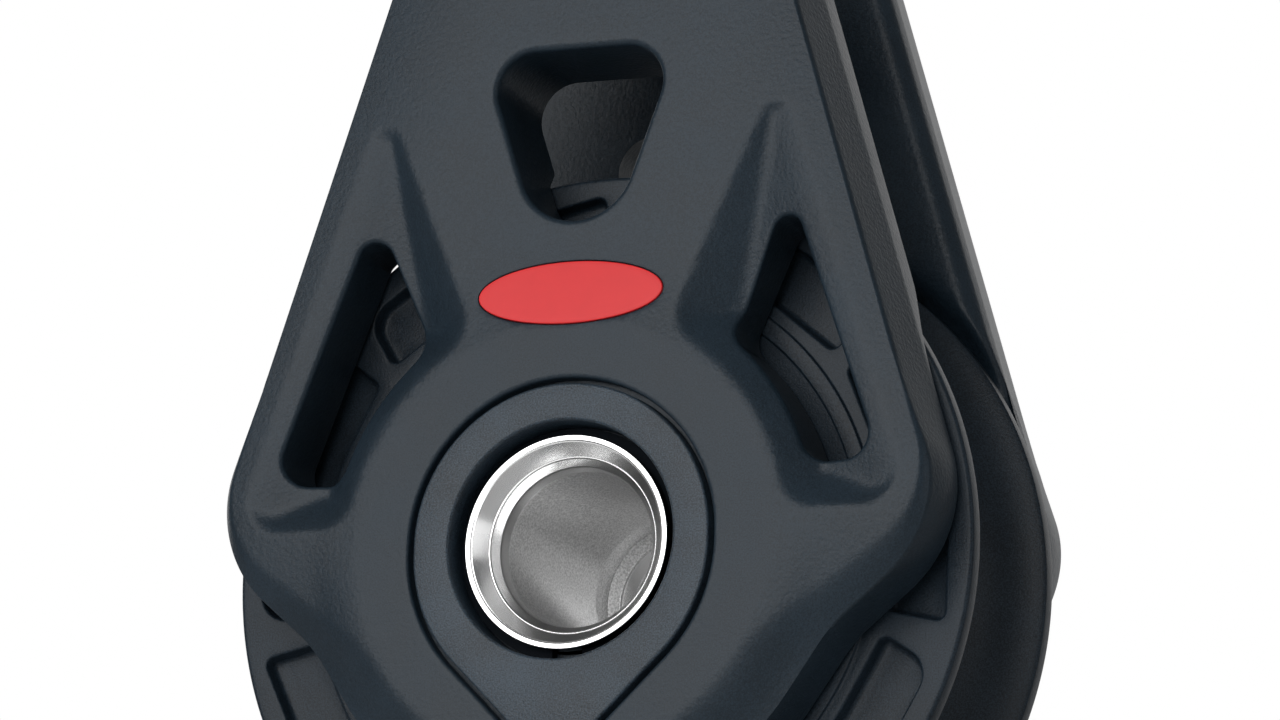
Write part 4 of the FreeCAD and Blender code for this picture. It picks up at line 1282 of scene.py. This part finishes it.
@dataclass
class HubCover:
    """An egg-shaped cover ring with soft edges, let into a cheek round the tube's mouth."""

    cheek: Cheek
    bore: float = 8.25
    well: float = 9.1
    well_floor: float = 14.0
    edge: float = 0.22
    spacing: float = 0.25

    def build(self) -> bpy.types.Object:
        """Carry the ring's section round between the egg and the well."""
        egg, normals = self.cheek.cover_edge(0.0).loop(self.spacing)
        spoke = egg / np.linalg.norm(egg, axis=1)[:, None]
        top, seat = self.cheek.boss_face, self.cheek.seat_level
        edge = quarter(self.edge, steps=5)
        rows = [(egg, seat)]
        rows += [(egg - normals * inset, top - drop) for inset, drop in edge]
        rows += [(spoke * (self.well + drop), top - inset) for inset, drop in edge]
        rows += [(spoke * radius, level) for radius, level in
                 ((self.well, self.well_floor), (self.bore, self.well_floor), (self.bore, seat))]
        places = np.stack([row[0] for row in rows])
        levels = np.stack([np.full(len(egg), row[1]) for row in rows])
        surface = Surface()
        numbers = surface.add(self.cheek.side.placed(places, levels))
        surface.skin(np.concatenate([numbers, numbers[:1]]))
        side = self.cheek.side.name.lower()
        made = surface.piece(f"{side}_cover_ring", COVER_PLASTIC, "block")
        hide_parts(f"{side}_hub_cover")
        return made


@dataclass
class Sheave:
    """The sheave: a turned ring with a round groove, ball tracks, a smooth ring and seven dishes in both sides.

    The ring is (inner radius, outer radius, rise) and the track (inner radius, outer radius, level of its floor). The
    face and the dish are (inner radius, outer radius), and a dish's foot and lip are (inset, round).
    """

    radius: float = field(default_factory=lambda: float(node_box("sheave")[1][2]))
    bore: float = field(default_factory=lambda: float(node_box("bearing_outer_race")[1][2]))
    half_width: float = 9.6
    groove_radius: float = 8.0
    groove_centre: float = 31.5
    groove_share: float = 0.97
    groove_steps: int = 41
    crest_round: float = 0.15
    rim_round: float = 0.35
    ring: tuple[float, float, float] = (21.1, 22.4, 0.3)
    ring_foot: float = 0.15
    ring_round: float = 0.12
    track_round: float = 0.1
    track: tuple[float, float, float] = (15.7, 19.5, 8.65)
    face: tuple[float, float] = (22.75, 29.3)
    dishes: int = 7
    dish: tuple[float, float] = (23.3, 28.1)
    dish_depth: float = 1.3
    dish_foot: tuple[float, float] = (0.62, 0.4)
    dish_lip: tuple[float, float] = (0.12, 0.2)
    dish_start: float = 193.5
    rib_angle: float = 4.8
    lean: float = 16.0
    steps: int = 300
    grid: float = 0.8

    def dish_outline(self, number: int) -> Outline:
        """Return the edge of one dish, squared at one end and swept at the other."""
        start = self.dish_start + 360.0 * number / self.dishes
        end = start + 360.0 / self.dishes - self.rib_angle
        inner, outer = self.dish
        spread = (end - start) / 4
        swept = (inner + outer) / 2 * math.sin(math.radians(self.lean))
        return Outline(((start - 90.0, 0.0, 0.8), (start + spread, outer, outer), (end - spread, outer, 2.2),
                        (end + 90.0 - self.lean, swept, 0.8), (end - spread, inner, inner),
                        (start + spread, inner, 0.8)))

    def dish_rim(self, outline: Outline) -> Rim:
        """Return a dish's edge: a fillet on its floor, a leaning wall and a round at the face."""
        top, floor = self.half_width, self.half_width - self.dish_depth
        inset, size = self.dish_foot
        steps = [(size - far - inset, floor + rise) for rise, far in quarter(size, steps=4)]
        inset, size = self.dish_lip
        steps += [(out - inset, top - drop) for out, drop in quarter(size, steps=4)]
        return Rim(outline, steps, blind=True, spacing=0.4)

    def inside_profile(self) -> Points:
        """Return the section from one face's inner edge over the smooth ring and the tracks to the other's."""
        low, high, rise = self.ring
        track_low, track_high, track_floor = self.track
        top = self.half_width
        foot, crest, corner = self.ring_foot, self.ring_round, self.track_round
        half = [(self.face[0], top, 0.0), (high, top, foot), (high, top + rise, crest), (low, top + rise, crest),
                (low, top, foot), (track_high, top, corner), (track_high, track_floor, corner),
                (track_low, track_floor, corner), (track_low, top, corner), (self.bore, top, corner)]
        both = [(radius, -level, size) for radius, level, size in half] + half[::-1]
        return rounded(both)

    def outside_profile(self) -> Points:
        """Return the section from one face's outer edge over the rims and the groove to the other's."""
        shift = self.groove_centre - self.radius
        radius, size = self.groove_radius, self.crest_round
        reach = math.asin(math.sqrt(radius**2 - shift**2) / radius) * self.groove_share
        swing = np.linspace(-reach, reach, self.groove_steps)
        arc = np.stack([self.groove_centre - radius * np.cos(swing), radius * np.sin(swing)], 1)
        crest, top = float(arc[-1, 1]) + size, self.half_width
        rim = [(self.face[1], top, 0.0), (self.radius, top, self.rim_round), (self.radius, crest, size),
               (float(arc[-1, 0]), float(arc[-1, 1]), 0.0)]
        front = rounded([(radius, -level, bend) for radius, level, bend in rim])
        return np.concatenate([front[:-1], arc, (front * (1.0, -1.0))[::-1][1:]])

    def build(self) -> bpy.types.Object:
        """Build the sheave from two turned sections and two flat faces with dishes."""
        surface = Surface()
        inside = turned(surface, self.inside_profile(), self.steps, closed=False, flip=False)
        outside = turned(surface, self.outside_profile(), self.steps, closed=False, flip=True)
        angle = np.linspace(0.0, 2 * math.pi, self.steps, endpoint=False)
        for side, row in ((Side.FRONT, 0), (Side.REAR, -1)):
            spoke = np.stack([side.value * np.cos(angle), np.sin(angle)], axis=1)
            edges = [Edge(spoke * self.face[0], inside[row], outer=False), Edge(spoke * self.face[1], outside[row])]
            for number in range(self.dishes):
                outline = self.dish_outline(number)
                rim = self.dish_rim(outline if side is Side.FRONT else outline.mirrored())
                edges.append(rim.build(surface, side)[1])
            fill(surface, side, edges, lambda x, z: np.full_like(x, self.half_width), self.grid)
        made = surface.piece("sheave_moulding", SHEAVE_PLASTIC, "sheave")
        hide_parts("sheave")
        return made


# Stage, lamps and camera


@dataclass(frozen=True)
class PhotographCamera:
    """The camera that took the photograph, below the block and to its right, in millimetres and degrees."""

    azimuth: float = 22.298
    elevation: float = -13.342
    roll: float = 2.022
    distance: float = 468.77
    right_shift: float = -0.413
    up_shift: float = 17.265
    focal_pixels: float = 6059.3
    image_width: float = 1280.0
    sensor_width: float = 36.0

    def axes(self) -> tuple[Vector, Vector, Vector]:
        """Return the camera's right, up and backward directions."""
        back = direction(self.azimuth, self.elevation)
        level = direction(self.azimuth + 90.0, 0.0)
        upright = back.cross(level)
        cosine, sine = math.cos(math.radians(self.roll)), math.sin(math.radians(self.roll))
        return level * cosine + upright * sine, upright * cosine - level * sine, back

    def build(self) -> None:
        """Make the camera and set it as the scene's."""
        right, up, back = self.axes()
        place = (back * self.distance + right * self.right_shift + up * self.up_shift) * MM
        data = bpy.data.cameras.new("photograph_camera")
        data.sensor_width = self.sensor_width
        data.lens = self.focal_pixels * self.sensor_width / self.image_width
        data.clip_start, data.clip_end = 0.01, 50.0
        camera = bpy.data.objects.new("photograph_camera", data)
        columns = Matrix((right, up, back)).transposed().to_4x4()
        camera.matrix_world = Matrix.Translation(place) @ columns
        bpy.context.scene.collection.objects.link(camera)
        bpy.context.scene.camera = camera


@dataclass(frozen=True)
class Softbox:
    """A soft lamp that faces the block, in degrees and metres."""

    name: str
    azimuth: float
    elevation: float
    distance: float
    width: float
    height: float
    power: float

    def build(self) -> None:
        """Make the lamp, turned to the block's middle."""
        data = bpy.data.lights.new(self.name, "AREA")
        data.shape = "RECTANGLE"
        data.size, data.size_y = self.width, self.height
        data.energy = self.power
        back = direction(self.azimuth, self.elevation)
        lamp = bpy.data.objects.new(self.name, data)
        lamp.location = back * self.distance + LAMP_AIM
        lamp.rotation_mode = "QUATERNION"
        lamp.rotation_quaternion = back.to_track_quat("Z", "Y")
        bpy.context.scene.collection.objects.link(lamp)


@dataclass
class Studio:
    """A white floor, a white backdrop behind, lamps in front and a dim surround."""

    floor_level: float = -0.17
    backdrop_place: float = 3.0
    backdrop_half: float = 1.0
    backdrop_height: float = 3.0
    half_size: float = 9.5
    ambient: float = 0.17
    lamps: tuple[Softbox, ...] = field(default_factory=lambda: (
        Softbox("key_softbox", -10.0, 12.0, 0.75, 0.95, 0.50, 4.3),
        Softbox("right_strip", 80.0, 4.0, 0.9, 0.30, 0.5, 0.45),
        Softbox("rear_softbox", -128.0, 16.0, 0.9, 0.45, 0.45, 0.9),
    ))

    def plane(self, name: str, corners: Sequence[tuple[float, float, float]], finish: Finish) -> None:
        """Add a flat stage piece through four corners, in metres."""
        mesh = bpy.data.meshes.new(name)
        mesh.from_pydata(list(corners), [], [(0, 1, 2, 3)])
        mesh.materials.append(finish.material())
        made = bpy.data.objects.new(name, mesh)
        bpy.context.scene.collection.objects.link(made)

    def build(self) -> None:
        """Make the floor, the backdrop, the lamps and the world."""
        half, level, far = self.half_size, self.floor_level, self.backdrop_place
        wide, high = self.backdrop_half, self.backdrop_height
        self.plane("floor", [(-half, -half, level), (half, -half, level), (half, far, level), (-half, far, level)],
                   StageWhite("floor_white", lit=0.86))
        self.plane("backdrop", [(-wide, far, level), (wide, far, level), (wide, far, high), (-wide, far, high)],
                   StageWhite("backdrop_white", rays=("Is Camera Ray", "Is Glossy Ray", "Is Transmission Ray")))
        for lamp in self.lamps:
            lamp.build()
        self.surround()

    def surround(self) -> None:
        """Let the camera see white beyond the stage, and light the block dimly from all round."""
        world = bpy.data.worlds.new("surround")
        bpy.context.scene.world = world
        world.use_nodes = True
        tree = ShaderTree(world.node_tree, "BACKGROUND")
        seen = tree.node("ShaderNodeLightPath", {}, {}, "Is Camera Ray")
        tree.dress(Color=(1.0, 1.0, 1.0), Strength=seen * (1.0 - self.ambient) + self.ambient)


def dress_nodes() -> None:
    """Dress each frame node that stays in its finish."""
    for finish, names in NODE_FINISHES.items():
        for name in names:
            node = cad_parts[name]
            node.data.materials.clear()
            node.data.materials.append(finish.material())
            log.info("%s wears %s", name, finish.name)


def main() -> None:
    """Build the stage and the block's pieces."""
    PhotographCamera().build()
    Studio().build()
    bpy.context.scene.view_settings.view_transform = "Standard"
    for side in Side:
        cheek = Cheek(side, inner_round=0.3 if side is Side.FRONT else 1.5)
        cheek.dress(cheek.build())
        HubCover(cheek).build()
        if side is Side.FRONT:
            Badge().build(cheek)
    HubTube().build()
    Sheave().build()
    dress_nodes()


if __name__ == "__main__":
    main()
